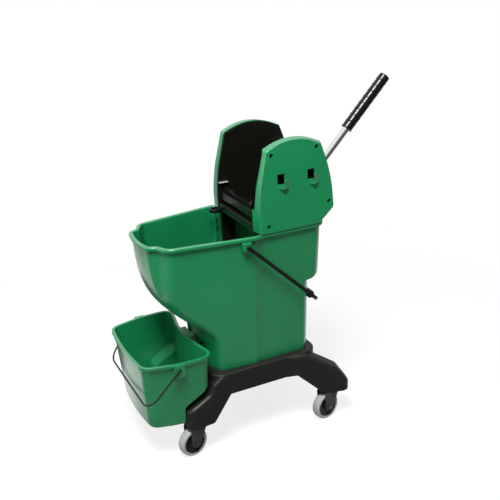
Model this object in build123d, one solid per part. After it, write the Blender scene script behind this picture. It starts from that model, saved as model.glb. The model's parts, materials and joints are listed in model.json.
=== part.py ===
from build123d import *
import os
from math import acos, atan2, cos, degrees, exp, hypot, pi, radians, sin, tan

# Mop bucket on a four-wheeled chassis, with a hang-on pail and a geared lever wringer.
# Millimetres, +Z up, floor at Z 0. The spout faces -X, the lever +X; left is -Y.

# How far a cut runs past the face that it opens
CUT = 1.0
CUT_FAR = 10.0

# Bucket: a deep well with a nose that swells forward above the pail
RIM_Z = 555.0
BASE_Z = 200.0
WALL = 3.5
WELL_FRONT_X = -187.0
NOSE_REACH = 147.0
NOSE_MID_Z = 348.0
NOSE_SPREAD = 44.0
WELL_REAR_X = 84.0
REAR_DRAFT = 0.5
HALF_WIDTH_BASE = 114.0
HALF_WIDTH_RIM = 129.0
PLAN_TAPER_BASE = 0.09
PLAN_TAPER_RIM = 0.146
SIDE_STEP_X = -64.0
SIDE_STEP = 4.0
SIDE_STEP_RUN = 6.0
SIDE_STEP_RADIUS = 5.0
SPOUT_HALF_WIDTH = 57.0
SPOUT_DEPTH = 30.0
SPOUT_FADE_LOW_Z = 395.0
SPOUT_FADE_HIGH_Z = 520.0
SPOUT_RADIUS = 13.0
SPOUT_CROWN = 4.0
SPOUT_CROWN_RADIUS = 200.0
SPOUT_FLANK = 9.0
SPOUT_NOTCH_RADIUS = 8.0
SHOULDER_RUN = 16.0
SHOULDER_LEAST = 4.0
FRONT_CORNER_RADIUS = 26.0
REAR_CORNER_RADIUS = 24.0
OVERHANG_REAR_X = 118.0
OVERHANG_DRAFT = 4.0
OVERHANG_Z = 404.0
OVERHANG_INSET = 1.2
OVERHANG_ROOT_X = 30.0
OVERHANG_FILLET = 15.0
RIM_LIP = 7.0
RIM_THICK = 3.5
RIM_SKIRT = 13.0
RIM_SKIRT_WALL = 2.6
TUB_SECTIONS = (0.0, 0.1, 0.2, 0.29, 0.36, 0.43, 0.5, 0.58, 0.68, 0.79, 0.9, 1.0)

# Chassis: a moulded tray with four splayed legs
DECK_Z = 207.0
SKIRT_Z = 148.0
TRAY_FLOOR = 5.0
TRAY_WALL = 5.0
TRAY_FRONT_X = -200.0
TRAY_REAR_X = 100.0
TRAY_HALF = 129.0
TRAY_CORNER_RADIUS = 36.0
TRAY_EDGE_RADIUS = 4.0
TRAY_FIT = 0.6
RIB_THICK = 4.0
RIB_DROP = 35.0
RIB_COUNT = 3
LEG_WIDTH = 50.0
LEG_END_RADIUS = 20.0
LEG_TOP_RADIUS = 10.0
LEG_BROW_Z = 165.0
LEG_FOOT_Z = 82.0
FRONT_SPLAY = 5.0
REAR_SPLAY = 15.0
FRONT_SWIVEL_X = -241.0
FRONT_SWIVEL_Y = 112.0
REAR_SWIVEL_X = 132.5
REAR_SWIVEL_Y = 138.0
BASE_SCREW_PLACES = ((40.0, 70.0), (40.0, -70.0), (-140.0, 70.0), (-140.0, -70.0))
BASE_SCREW_REACH = 10.0
BASE_BOSS_DIAMETER = 14.0
BASE_BOSS_HEIGHT = 15.0

# Legs in side view: (distance from root, height, corner radius); the swivel stands at the leg's place
FRONT_LEG_PLACE = 85.0
FRONT_LEG = ((-40.0, 148.0, 1.0), (0.0, 148.0, 8.0), (50.0, 82.0, 10.0), (120.0, 82.0, 3.0),
             (120.0, 132.0, 14.0), (56.0, 163.0, 14.0), (46.0, 186.0, 14.0), (20.0, 207.0, 14.0),
             (-40.0, 207.0, 1.0))
FRONT_CORE = ((-6.0, 120.0, 1.0), (50.0, 60.0, 1.0), (56.0, 100.0, 4.0), (54.0, 146.0, 6.0),
              (22.0, 190.0, 6.0), (-6.0, 190.0, 1.0))
FRONT_LEG_SPACE = ((-40.0, 40.0, 1.0), (122.0, 40.0, 1.0), (122.0, 148.0, 14.0), (46.0, 194.0, 10.0),
                   (20.0, 214.0, 8.0), (-40.0, 214.0, 1.0))
REAR_LEG_PLACE = 126.0
REAR_LEG = ((-40.0, 148.0, 1.0), (30.0, 148.0, 8.0), (102.0, 82.0, 12.0), (172.0, 82.0, 3.0),
            (172.0, 106.0, 14.0), (142.0, 149.0, 36.0), (50.0, 207.0, 60.0), (-40.0, 207.0, 1.0))
REAR_CORE = ((-6.0, 120.0, 1.0), (96.0, 60.0, 1.0), (98.0, 100.0, 4.0), (92.0, 150.0, 6.0),
             (32.0, 190.0, 6.0), (-6.0, 190.0, 1.0))

# Casters: 75 mm wheels in pressed forks, swivel heads up inside the leg ends
WHEEL_DIAMETER = 75.0
WHEEL_WIDTH = 24.0
HUB_DIAMETER = 58.0
HUB_WIDTH = 21.0
HUB_RIM = 6.0
HUB_DISH = 4.0
HUB_BOSS_DIAMETER = 20.0
TREAD_SHOULDER = 5.0
CASTER_TRAIL = 20.0
CASTER_TURN = 12.0
FORK_STEEL = 3.0
FORK_SIDE_GAP = 2.5
FORK_CROWN_GAP = 3.0
FORK_FOOT = 11.0
FORK_FOOT_RADIUS = 10.5
FORK_BEND = 2.0
FORK_FRONT_X = -33.0
FORK_REAR_X = 14.0
CROWN_Z = WHEEL_DIAMETER + FORK_CROWN_GAP
CROWN_RADIUS = 22.0
SWIVEL_HEAD_DIAMETER = 34.0
SWIVEL_HEAD_HEIGHT = 12.0
SWIVEL_POCKET_GAP = 2.5
SWIVEL_POCKET_DEPTH = 18.0
POCKET_ROOF_Z = LEG_FOOT_Z + SWIVEL_POCKET_DEPTH
STEM_DIAMETER = 12.0
STEM_DEPTH = 30.0
STEM_HEAD_DIAMETER = 20.0
STEM_HEAD = 3.0
STEM_COLLAR_DIAMETER = 24.0
AXLE_DIAMETER = 8.0
AXLE_HEAD_DIAMETER = 13.0
AXLE_HEAD = 4.0
RUNNING_GAP = 0.05
FACE_GAP = 0.4

# Carrying bail of the bucket, folded down behind it
BAIL_STRAP_THICK = 5.0
BAIL_STRAP_HEIGHT = 9.3
BAIL_PIVOT_X = -94.0
BAIL_PIVOT_Z = 533.0
BAIL_REACH = 265.0
BAIL_ANGLE = -43.8
BAIL_HALF_WIDTH = 140.5
BAIL_CORNER_RADIUS = 24.0
BAIL_END_RADIUS = 0.5
BAIL_EYE_DIAMETER = 12.0
BAIL_PIN_DIAMETER = 5.0
BAIL_PIN_HEAD = 8.0
BAIL_PIN_HEAD_THICK = 1.5
BAIL_PIN_TIP_Y = 124.0
BAIL_LUG_FORE = 13.0
BAIL_LUG_AFT = 8.0
BAIL_LUG_DROP = 9.0
BAIL_LUG_RISE = 12.0
BAIL_LUG_ROOT_Y = 118.0
BAIL_LUG_FACE_Y = BAIL_HALF_WIDTH - BAIL_STRAP_THICK / 2 - FACE_GAP
BAIL_SLEEVE_DIAMETER = 20.0
BAIL_SLEEVE_LENGTH = 200.0
BAIL_SLEEVE_EDGE = 3.0

# Pail that hangs on the bucket's front, over the two front legs
PAIL_RIM_Z = 280.0
PAIL_BASE_Z = 95.0
PAIL_FRONT_X = -372.0
PAIL_FRONT_BOW = 11.0
PAIL_FRONT_BOW_RADIUS = 700.0
PAIL_REAR_X = -201.5
PAIL_REAR_HOLLOW = 28.5
PAIL_HOLLOW_RADIUS = 340.0
PAIL_FRONT_HALF = 118.0
PAIL_SIDE_X = -285.0
PAIL_SIDE_HALF = 140.0
PAIL_SIDE_RADIUS = 250.0
PAIL_REAR_HALF = 138.5
PAIL_FRONT_RADIUS = 28.0
PAIL_REAR_RADIUS = 22.0
PAIL_WALL = 2.8
PAIL_FRONT_DRAFT = 13.0
PAIL_SIDE_DRAFT = 16.0
PAIL_REAR_DRAFT = 4.0
PAIL_BASE_FILLET = 12.0
PAIL_LIP = 4.5
PAIL_LIP_HEIGHT = 7.0
PAIL_LEG_GAP = 2.5
PAIL_EAR_WIDTH = 26.0
PAIL_EAR_HEIGHT = 34.0
PAIL_EAR_Y = 147.0
PAIL_EAR_ROOT_Y = 132.0
PAIL_PEG_Y = 140.0
PAIL_EAR_X = -290.0
PAIL_PIVOT_DROP = 12.0
PAIL_WIRE = 4.6
PAIL_WIRE_X = -378.0
PAIL_WIRE_Z = 184.0
PAIL_WIRE_RADIUS = 38.0
HANGER_X = -212.5
HANGER_ROOT_X = -188.2
HANGER_Z = 275.6
HANGER_HEIGHT = 20.0
HANGER_HALF_WIDTH = 30.0
HANGER_THICK = 4.0
HANGER_HOOK = 8.0
HANGER_BRIDGE = 8.0
HANGER_GAP = 0.8

# Wringer housings: outline in side view, shared by covers and cheeks
HOUSING_SEAT = 0.3
HOUSING_FRONT_X = -62.5
HOUSING_TOE_RADIUS = 3.0
HOUSING_CHEST_X = -64.5
HOUSING_CHEST_Z = 600.0
HOUSING_BREAST_X = -58.5
HOUSING_BREAST_Z = 660.0
HOUSING_FRONT_RADIUS = 300.0
HOUSING_TOP_FRONT_X = -37.0
HOUSING_TOP_FRONT_Z = 751.0
HOUSING_TOP_FRONT_RADIUS = 10.0
HOUSING_CROWN_X = 41.0
HOUSING_CROWN_Z = 784.6
HOUSING_CROWN_RADIUS = 147.0
HOUSING_TOP_Z = 773.0
HOUSING_TOP_REAR_X = 123.0
HOUSING_TOP_REAR_Z = 750.0
HOUSING_TOP_REAR_RADIUS = 12.0
HOUSING_BELLY_X = 151.0
HOUSING_BELLY_Z = 676.0
HOUSING_BELLY_RADIUS = 380.0
HOUSING_HEEL_X = 158.0
HOUSING_HEEL_Z = 590.0
HOUSING_HEEL_RADIUS = 14.0
HOUSING_SOLE_X = 118.0
HOUSING_SOLE_RADIUS = 10.0
COVER_BASE_Y = 134.5
COVER_TOP_Y = 123.5
COVER_WALL = 3.0
COVER_DEPTH = 40.0
COVER_FRONT_LEAN = 0.14
COVER_REAR_LEAN = 0.5
COVER_EDGE_RADIUS = 2.5
CHEEK_INNER_Y = 97.0
CHEEK_THICK = 5.0
CHEEK_OUTER_Y = CHEEK_INNER_Y + CHEEK_THICK
CHEEK_INSET = 2.0
CHEEK_SKIRT = 22.0
CHEEK_SKIRT_FRONT_X = -45.0
CHEEK_SKIRT_REAR_X = 95.0
CHEEK_TONGUE = 112.0
CHEEK_TONGUE_FRONT_X = -55.0
CHEEK_TONGUE_REAR_X = -18.0
CHEEK_PADS_X = (-30.0, 80.0)
CHEEK_PAD_THICK = 5.0
CHEEK_PAD_GAP = 1.5
SCREW_DIAMETER = 5.0
SCREW_BORE = SCREW_DIAMETER + 2 * RUNNING_GAP
SCREW_HEAD_DIAMETER = 9.0
SCREW_HEAD_GAP = 0.5
SCREW_HEAD = 3.0
SCREW_RECESS = 2.5
SCREW_SOCKET = 5.2
SCREW_SOCKET_DEPTH = 2.0
SCREW_TIP_GAP = 0.5
SCREW_BOSS_DIAMETER = 14.0
SCREW_PLACES = ((-22.0, 740.6), (99.0, 744.6), (-36.5, 571.8), (129.6, 607.1))
FRAME_SCREW_PLACES = ((-51.0, 563.5), (-20.0, 578.0), (60.0, 548.0))
FRAME_SCREW_HEAD_DIAMETER = 8.0
FRAME_SCREW_REACH = 10.0
HOOK_HOLE_WIDTH = 19.0
HOOK_HOLE_HEIGHT = 24.5
HOOK_HOLE_X = (1.0, 82.0)
HOOK_HOLE_Z = 681.75
HOOK_WEDGE = 11.0
HOOK_HEIGHT = 22.5
HOOK_REACH = 10.5
HOOK_FRONT = -9.5
HOOK_APEX = 4.0
HOOK_REAR = 26.5
HOOK_THICK = 3.2
HOOK_LIP_ROOT = 6.0

# Wringer drive: lever shaft with pinions, press shaft with toothed sectors
SHAFT_X = 105.0
SHAFT_Z = 588.0
SHAFT_DIAMETER = 16.0
PRESS_SHAFT_DIAMETER = 14.0
GEAR_MODULE = 2.5
GEAR_DEDENDUM = 1.25
PINION_TEETH = 16
SECTOR_TEETH = 20
SECTOR_KEPT_TEETH = 11
PRESSURE_ANGLE = 20.0
GEAR_BACKLASH = 0.3
GEAR_WIDTH = 10.0
GEAR_SIDE_GAP = 2.5
GEAR_LINE_ANGLE = 170.0
GEAR_CENTRES = GEAR_MODULE * (PINION_TEETH + SECTOR_TEETH) / 2
GEAR_INNER_Y = CHEEK_OUTER_Y + GEAR_SIDE_GAP
PRESS_X = SHAFT_X + GEAR_CENTRES * cos(radians(GEAR_LINE_ANGLE))
PRESS_Z = SHAFT_Z + GEAR_CENTRES * sin(radians(GEAR_LINE_ANGLE))
SECTOR_HUB = 8.0
FLANK_POINTS = 5
HUB_POINTS = 18
BUSH_WALL = 3.0
BUSH_FLANGE = 3.0
BUSH_FLANGE_THICK = 1.6
SHAFT_END = 3.0

# Lever
LEVER_ANGLE = 46.3
LEVER_OFFSET = 9.8
LEVER_LENGTH = 388.0
LEVER_TUBE_DIAMETER = 19.0
LEVER_TUBE_WALL = 1.8
LEVER_HUB_DIAMETER = 44.0
LEVER_HUB_WIDTH = 46.0
SOCKET_DIAMETER = 28.0
SOCKET_LENGTH = 78.0
SOCKET_DEPTH = 50.0
LEVER_BOLT_DIAMETER = 6.0
LEVER_BOLT_HOLE = 6.1
LEVER_BOLT_HEAD = 4.0
LEVER_BOLT_PLACE = 56.0
GRIP_LENGTH = 169.0
GRIP_DIAMETER = 26.0
GRIP_END_RADIUS = 3.0
GRIP_PITCHES = 9
GRIP_RING_DIAMETER = 28.0
GRIP_RING_WIDTH = 3.0
GRIP_RING_CHAMFER = 0.7
GRIP_CAP = 4.0

# Jaws
PRESS_LEAN = 20.0
PRESS_HEIGHT = 138.0
PRESS_THICK = 5.0
PRESS_OFFSET = 9.0
PRESS_FOOT = 8.0
PRESS_SIDE_GAP = 3.0
PRESS_HUB_DIAMETER = 24.0
PRESS_RIB_DEPTH = 14.0
PRESS_RIB_THICK = 4.0
PRESS_RIB_TOP = 2.0
PRESS_RIB_DROP = 4.0
PRESS_SLOTS = 9
PRESS_SLOT_ROWS = ((18.0, 66.0), (76.0, 126.0))
SLOT_WIDTH = 6.0
JAW_LIP_X = -54.0
JAW_LIP_TOP_Z = 599.0
JAW_LIP_HEIGHT = 18.0
JAW_FLANGE_X = -39.0
JAW_FLANGE_TOP_Z = 612.0
JAW_SCOOP = 9.0
JAW_SCOOP_HALF = 60.0
JAW_LEDGE_Z = 593.0
JAW_REAR_X = 42.0
JAW_REAR_Z = 561.0
JAW_THICK = 4.0
JAW_END_X = -15.0
JAW_END_Z = 568.0
JAW_END_THICK = 14.0
JAW_HOLES = 13
JAW_HOLE_DIAMETER = 5.0
JAW_SLOTS = 10
JAW_SLOT_LENGTH = 62.0
BEAM_FRONT_X = -59.0
BEAM_DEPTH = 14.0
BEAM_LOW_Z = 551.0
BEAM_HEIGHT = 18.0
BEAM_WALL = 3.0
BEAM_END = 14.0
TIE_DIAMETER = 12.0
TIE_X = 60.0
TIE_Z = 548.0
RING_X = -79.0
RING_Y = 84.0
RING_OUTER = 30.0
RING_BORE = 20.0
RING_HEIGHT = 9.0
RING_LOW_Z = 554.0
RING_ARM = 10.0


def blend(low, high, at):
    """Smooth step from 0 at low to 1 at high."""
    t = min(1.0, max(0.0, (at - low) / (high - low)))
    return t * t * (3.0 - 2.0 * t)


def share(at):
    """Height as a share of the bucket, 0 at its base and 1 at its rim."""
    return (at - BASE_Z) / (RIM_Z - BASE_Z)


def outline(corners, grow=0.0):
    """Face inside (x, y, radius) corners, drawn counterclockwise, moved out by grow."""
    count = len(corners)
    points = [Vector(x, y) for x, y, _ in corners]
    sides = [(points[(i + 1) % count] - points[i]).normalized() for i in range(count)]
    out = [Vector(d.Y, -d.X) * grow for d in sides]
    moved = []
    for i in range(count):
        a, b = sides[i - 1], sides[i]
        turn = a.X * b.Y - a.Y * b.X
        shift = out[i] - out[i - 1]
        along = (shift.X * b.Y - shift.Y * b.X) / turn
        moved.append(points[i] + out[i - 1] + a * along)
    edges = []
    ends = []
    for i in range(count):
        a, b = sides[i - 1], sides[i]
        turn = atan2(a.X * b.Y - a.Y * b.X, a.X * b.X + a.Y * b.Y)
        radius = max(0.4, corners[i][2] + (grow if turn > 0 else -grow))
        reach = radius * tan(abs(turn) / 2)
        start, end = moved[i] - a * reach, moved[i] + b * reach
        inward = (b - a).normalized()
        middle = moved[i] + inward * (hypot(reach, radius) - radius)
        ends.append((start, end))
        edges.append(ThreePointArc(start, middle, end))
    for i in range(count):
        edges.append(Line(ends[i - 1][1], ends[i][0]))
    ordered = []
    for i in range(count):
        ordered += [edges[count + i], edges[i]]
    return Face(Wire(ordered))


def mirrored(half):
    """Closed corner list from the corners of the +Y half, listed from rear to front."""
    return half + [(x, -y, r) for x, y, r in reversed(half)]


def on_both_sides(shape):
    return Compound(children=[shape, mirror(shape, about=Plane.XZ)])


def right_of(shape):
    return mirror(shape, about=Plane.XZ)


def both(shape):
    """The shape fused with its mirror image."""
    return shape + right_of(shape)


def span(x0, x1, y0, y1, z0, z1):
    """Box between two corners."""
    return Pos((x0 + x1) / 2, (y0 + y1) / 2, (z0 + z1) / 2) * Box(x1 - x0, y1 - y0, z1 - z0)


def across(x, z, diameter, start, end):
    """Rod along Y on the left side, between two distances from the middle."""
    return Pos(x, -start, z) * Rot(X=90) * Cylinder(
        diameter / 2, end - start, align=(Align.CENTER, Align.CENTER, Align.MIN))


def upright_rod(x, y, diameter, low, high):
    return Pos(x, y, low) * Cylinder(diameter / 2, high - low, align=(Align.CENTER, Align.CENTER, Align.MIN))


# Bucket


def nose_x(z):
    """Front of the bucket at height z: plumb in the well, swelling forward to the nose."""
    return WELL_FRONT_X - NOSE_REACH * exp(-exp((NOSE_MID_Z - z) / NOSE_SPREAD))


def half_width(z):
    return HALF_WIDTH_BASE + (HALF_WIDTH_RIM - HALF_WIDTH_BASE) * share(z)


def tub_corners(z, rear_x=None):
    """Corners of the bucket's plan at height z."""
    front = nose_x(z)
    fade = blend(SPOUT_FADE_LOW_Z, SPOUT_FADE_HIGH_Z, z)
    taper = PLAN_TAPER_BASE + (PLAN_TAPER_RIM - PLAN_TAPER_BASE) * share(z)
    wide = half_width(z)
    notch_x = front + SHOULDER_LEAST + (SPOUT_DEPTH - SHOULDER_LEAST) * fade
    notch_y = SPOUT_HALF_WIDTH + SPOUT_FLANK
    shoulder_x = notch_x + SHOULDER_RUN
    shoulder_y = wide - taper * (SIDE_STEP_X - shoulder_x)
    if rear_x is None:
        rear_x = WELL_REAR_X + REAR_DRAFT * share(z)
    half = [
        (rear_x, wide - SIDE_STEP, REAR_CORNER_RADIUS),
        (SIDE_STEP_X + SIDE_STEP_RUN / 2, wide - SIDE_STEP, SIDE_STEP_RADIUS),
        (SIDE_STEP_X - SIDE_STEP_RUN / 2, wide, SIDE_STEP_RADIUS),
        (shoulder_x, shoulder_y, FRONT_CORNER_RADIUS),
        (notch_x, notch_y, SPOUT_NOTCH_RADIUS),
        (front, SPOUT_HALF_WIDTH, SPOUT_RADIUS),
        (front - SPOUT_CROWN, 0.0, SPOUT_CROWN_RADIUS),
    ]
    return half + [(x, -y, r) for x, y, r in reversed(half[:-1])]


def tub_body(grow, low, high):
    """Bucket form moved out by grow, between two heights."""
    heights = [low + (high - low) * section for section in TUB_SECTIONS]
    return loft([Pos(0, 0, z) * outline(tub_corners(min(z, RIM_Z)), grow) for z in heights])


def overhang(grow, low, high):
    """Upper rear of the bucket, standing out over the folded bail."""
    sections = []
    for z in (low, high):
        wide = half_width(min(z, RIM_Z)) - SIDE_STEP - OVERHANG_INSET
        rear = OVERHANG_REAR_X - OVERHANG_DRAFT * max(0.0, RIM_Z - z) / (RIM_Z - OVERHANG_Z)
        half = [(rear, wide, REAR_CORNER_RADIUS), (OVERHANG_ROOT_X, wide, REAR_CORNER_RADIUS)]
        sections.append(Pos(0, 0, z) * outline(mirrored(half), grow))
    block = loft(sections)
    return fillet(block.faces().sort_by(Axis.Z)[0].edges(), OVERHANG_FILLET + grow)


def bucket():
    shell = tub_body(0.0, BASE_Z, RIM_Z) + overhang(0.0, OVERHANG_Z, RIM_Z)
    hollow = tub_body(-WALL, BASE_Z + WALL, RIM_Z + CUT) + overhang(-WALL, OVERHANG_Z + WALL, RIM_Z + CUT)
    rim = tub_corners(RIM_Z, OVERHANG_REAR_X)
    lip = extrude(Pos(0, 0, RIM_Z) * outline(rim, RIM_LIP), -RIM_THICK)
    skirt = outline(rim, RIM_LIP) - outline(rim, RIM_LIP - RIM_SKIRT_WALL)
    lip += extrude(Pos(0, 0, RIM_Z) * skirt, -RIM_SKIRT)
    lug = span(BAIL_PIVOT_X - BAIL_LUG_FORE, BAIL_PIVOT_X + BAIL_LUG_AFT, -BAIL_LUG_FACE_Y, -BAIL_LUG_ROOT_Y,
               BAIL_PIVOT_Z - BAIL_LUG_DROP, BAIL_PIVOT_Z + BAIL_LUG_RISE)
    body = shell + lip + both(lug) - hollow
    pin_bore = BAIL_PIN_DIAMETER + 2 * RUNNING_GAP
    body -= both(across(BAIL_PIVOT_X, BAIL_PIVOT_Z, pin_bore, 0.0, BAIL_HALF_WIDTH))
    shelf = span(HANGER_X, HANGER_ROOT_X, -HANGER_HALF_WIDTH, HANGER_HALF_WIDTH,
                 HANGER_Z - HANGER_HEIGHT, HANGER_Z - HANGER_HEIGHT + HANGER_THICK)
    upright = span(HANGER_X, HANGER_X + HANGER_THICK, -HANGER_HALF_WIDTH, HANGER_HALF_WIDTH,
                   HANGER_Z - HANGER_HEIGHT, HANGER_Z)
    body += shelf + upright
    for x, y in BASE_SCREW_PLACES:
        body += upright_rod(x, y, BASE_BOSS_DIAMETER, BASE_Z, BASE_Z + BASE_BOSS_HEIGHT)
        body -= upright_rod(x, y, SCREW_BORE, BASE_Z - CUT, BASE_Z + BASE_SCREW_REACH + CUT)
    return body


# Chassis


def leg(profile, place, swivel, turn):
    """One left leg: side profile of (along, height, radius) corners; its foot is centred on the swivel."""
    root, tip = profile[0][0], max(x for x, _, _ in profile)
    half = LEG_WIDTH / 2
    plan = outline([(root, -half, 1.0), (tip, -half, LEG_END_RADIUS),
                    (tip, half, LEG_END_RADIUS), (root, half, 1.0)])
    block = extrude(Plane.XZ * outline(profile), half, both=True) & extrude(plan, DECK_Z + CUT)
    block -= span(root - CUT, 0.0, -LEG_WIDTH, LEG_WIDTH, 0.0, DECK_Z + CUT)
    brow = [e for e in block.edges() if e.bounding_box().min.Z > LEG_BROW_Z
            and e.center().X > LEG_TOP_RADIUS / 4 and abs(e.center().Y) > LEG_TOP_RADIUS]
    block = fillet(brow, LEG_TOP_RADIUS)
    return Pos(swivel[0], -swivel[1], 0) * Rot(Z=turn) * Pos(-place, 0, 0) * block


def leg_core(profile, place, swivel, turn):
    """Hollow in the underside of a leg, between its root and its swivel block."""
    block = extrude(Plane.XZ * outline(profile), LEG_WIDTH / 2 - TRAY_WALL, both=True)
    return Pos(swivel[0], -swivel[1], 0) * Rot(Z=turn) * Pos(-place, 0, 0) * block


def chassis():
    plan = mirrored([(TRAY_REAR_X, TRAY_HALF, TRAY_CORNER_RADIUS),
                     (TRAY_FRONT_X, TRAY_HALF, TRAY_CORNER_RADIUS)])
    tray = extrude(Pos(0, 0, SKIRT_Z) * outline(plan), DECK_Z - SKIRT_Z)
    tray = fillet(tray.faces().sort_by(Axis.Z)[-1].edges(), TRAY_EDGE_RADIUS)
    ceiling = BASE_Z - TRAY_FLOOR
    tray -= extrude(Pos(0, 0, SKIRT_Z - CUT) * outline(plan, -TRAY_WALL), ceiling - SKIRT_Z + CUT)
    for i in range(RIB_COUNT):
        x = TRAY_FRONT_X + (TRAY_REAR_X - TRAY_FRONT_X) * (i + 1) / (RIB_COUNT + 1)
        tray += span(x - RIB_THICK / 2, x + RIB_THICK / 2,
                     TRAY_WALL / 2 - TRAY_HALF, TRAY_HALF - TRAY_WALL / 2, ceiling - RIB_DROP, ceiling)
    front = (FRONT_SWIVEL_X, FRONT_SWIVEL_Y)
    rear = (REAR_SWIVEL_X, REAR_SWIVEL_Y)
    body = tray + both(leg(FRONT_LEG, FRONT_LEG_PLACE, front, 180.0 + FRONT_SPLAY))
    body += both(leg(REAR_LEG, REAR_LEG_PLACE, rear, -REAR_SPLAY))
    body -= both(leg_core(FRONT_CORE, FRONT_LEG_PLACE, front, 180.0 + FRONT_SPLAY))
    body -= both(leg_core(REAR_CORE, REAR_LEG_PLACE, rear, -REAR_SPLAY))
    body -= extrude(Pos(0, 0, BASE_Z) * outline(tub_corners(BASE_Z), TRAY_FIT), DECK_Z - BASE_Z + CUT)
    for x, y in (front, rear):
        pocket = SWIVEL_HEAD_DIAMETER + 2 * SWIVEL_POCKET_GAP
        body -= both(upright_rod(x, -y, pocket, LEG_FOOT_Z - CUT, POCKET_ROOF_Z))
        stem = STEM_DIAMETER + 2 * RUNNING_GAP
        body -= both(upright_rod(x, -y, stem, LEG_FOOT_Z, POCKET_ROOF_Z + STEM_DEPTH + CUT))
    for x, y in BASE_SCREW_PLACES:
        body -= upright_rod(x, y, SCREW_BORE, ceiling - RIB_DROP, BASE_Z + CUT)
    return body


def base_screws():
    head_z = BASE_Z - TRAY_FLOOR
    screws = []
    for x, y in BASE_SCREW_PLACES:
        screw = upright_rod(x, y, SCREW_HEAD_DIAMETER, head_z - SCREW_HEAD, head_z)
        screws.append(screw + upright_rod(x, y, SCREW_DIAMETER, head_z, BASE_Z + BASE_SCREW_REACH))
    return Compound(children=screws)


# Casters, each modelled about its own swivel axis with the wheel towards -X


def caster_stem():
    stem = upright_rod(0, 0, STEM_DIAMETER, CROWN_Z - STEM_HEAD - FACE_GAP, POCKET_ROOF_Z + STEM_DEPTH)
    stem += upright_rod(0, 0, STEM_HEAD_DIAMETER, CROWN_Z - STEM_HEAD - FACE_GAP, CROWN_Z - FACE_GAP)
    head_top = CROWN_Z + FORK_STEEL + SWIVEL_HEAD_HEIGHT
    return stem + upright_rod(0, 0, STEM_COLLAR_DIAMETER, head_top + FACE_GAP, POCKET_ROOF_Z)


def caster_fork():
    inner = WHEEL_WIDTH / 2 + FORK_SIDE_GAP
    outer = inner + FORK_STEEL
    top = CROWN_Z + FORK_STEEL
    side = outline([(-CASTER_TRAIL - FORK_FOOT, WHEEL_DIAMETER / 2 - FORK_FOOT, FORK_FOOT_RADIUS),
                    (-CASTER_TRAIL + FORK_FOOT, WHEEL_DIAMETER / 2 - FORK_FOOT, FORK_FOOT_RADIUS),
                    (FORK_REAR_X, top, FORK_BEND), (FORK_FRONT_X, top, FORK_BEND)])
    plate = extrude(Plane.XZ * side, FORK_STEEL)
    fork = upright_rod(0, 0, 2 * CROWN_RADIUS, CROWN_Z, top)
    fork += span(FORK_FRONT_X + FORK_BEND, FORK_REAR_X - FORK_BEND, -outer, outer, CROWN_Z, top)
    fork += both(Pos(0, -inner, 0) * plate)
    fork += upright_rod(0, 0, SWIVEL_HEAD_DIAMETER, top - CUT, top + SWIVEL_HEAD_HEIGHT)
    fork -= upright_rod(0, 0, STEM_DIAMETER + 2 * RUNNING_GAP, CROWN_Z - CUT, top + SWIVEL_HEAD_HEIGHT + CUT)
    bore = across(-CASTER_TRAIL, WHEEL_DIAMETER / 2, AXLE_DIAMETER + 2 * RUNNING_GAP, 0.0, 2 * outer)
    return fork - both(bore)


def wheel_hub():
    hub = Rot(X=90) * Cylinder(HUB_DIAMETER / 2, HUB_WIDTH)
    dish = Cylinder(HUB_DIAMETER / 2 - HUB_RIM, HUB_DISH) - Cylinder(HUB_BOSS_DIAMETER / 2, HUB_DISH)
    hub -= both(Pos(0, -(HUB_WIDTH - HUB_DISH) / 2, 0) * Rot(X=90) * dish)
    boss = both(across(0, 0, HUB_BOSS_DIAMETER, 0.0, WHEEL_WIDTH / 2 + FORK_SIDE_GAP - FACE_GAP))
    hub += boss
    hub -= both(across(0, 0, AXLE_DIAMETER + 2 * RUNNING_GAP, 0.0, WHEEL_WIDTH))
    return Pos(-CASTER_TRAIL, 0, WHEEL_DIAMETER / 2) * hub


def wheel_tyre():
    tyre = Rot(X=90) * Cylinder(WHEEL_DIAMETER / 2, WHEEL_WIDTH)
    tyre = fillet(tyre.edges(), TREAD_SHOULDER)
    tyre -= both(across(0, 0, HUB_DIAMETER + 2 * RUNNING_GAP, 0.0, WHEEL_WIDTH))
    return Pos(-CASTER_TRAIL, 0, WHEEL_DIAMETER / 2) * tyre


def axle_bolt():
    face = WHEEL_WIDTH / 2 + FORK_SIDE_GAP + FORK_STEEL
    bolt = both(across(0, 0, AXLE_DIAMETER, 0.0, face + CUT))
    head = extrude(Pos(0, 0, face) * RegularPolygon(AXLE_HEAD_DIAMETER / 2, 6), AXLE_HEAD)
    bolt += both(Rot(X=90) * head)
    return Pos(-CASTER_TRAIL, 0, WHEEL_DIAMETER / 2) * bolt


def casters():
    """All caster nodes, placed; right-hand casters mirror the left-hand ones."""
    makers = {"caster_stem": caster_stem, "caster_fork": caster_fork, "wheel_hub": wheel_hub,
              "wheel_tyre": wheel_tyre, "axle_bolt": axle_bolt}
    swivels = {"front": (FRONT_SWIVEL_X, FRONT_SWIVEL_Y), "rear": (REAR_SWIVEL_X, REAR_SWIVEL_Y)}
    placed = {}
    for name, maker in makers.items():
        piece = maker()
        for end, (x, y) in swivels.items():
            left = Pos(x, -y, 0) * Rot(Z=CASTER_TURN) * piece
            placed[f"{name}_{end}_left"] = left
            placed[f"{name}_{end}_right"] = mirror(left, about=Plane.XZ)
    return placed


# Carrying bail


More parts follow.
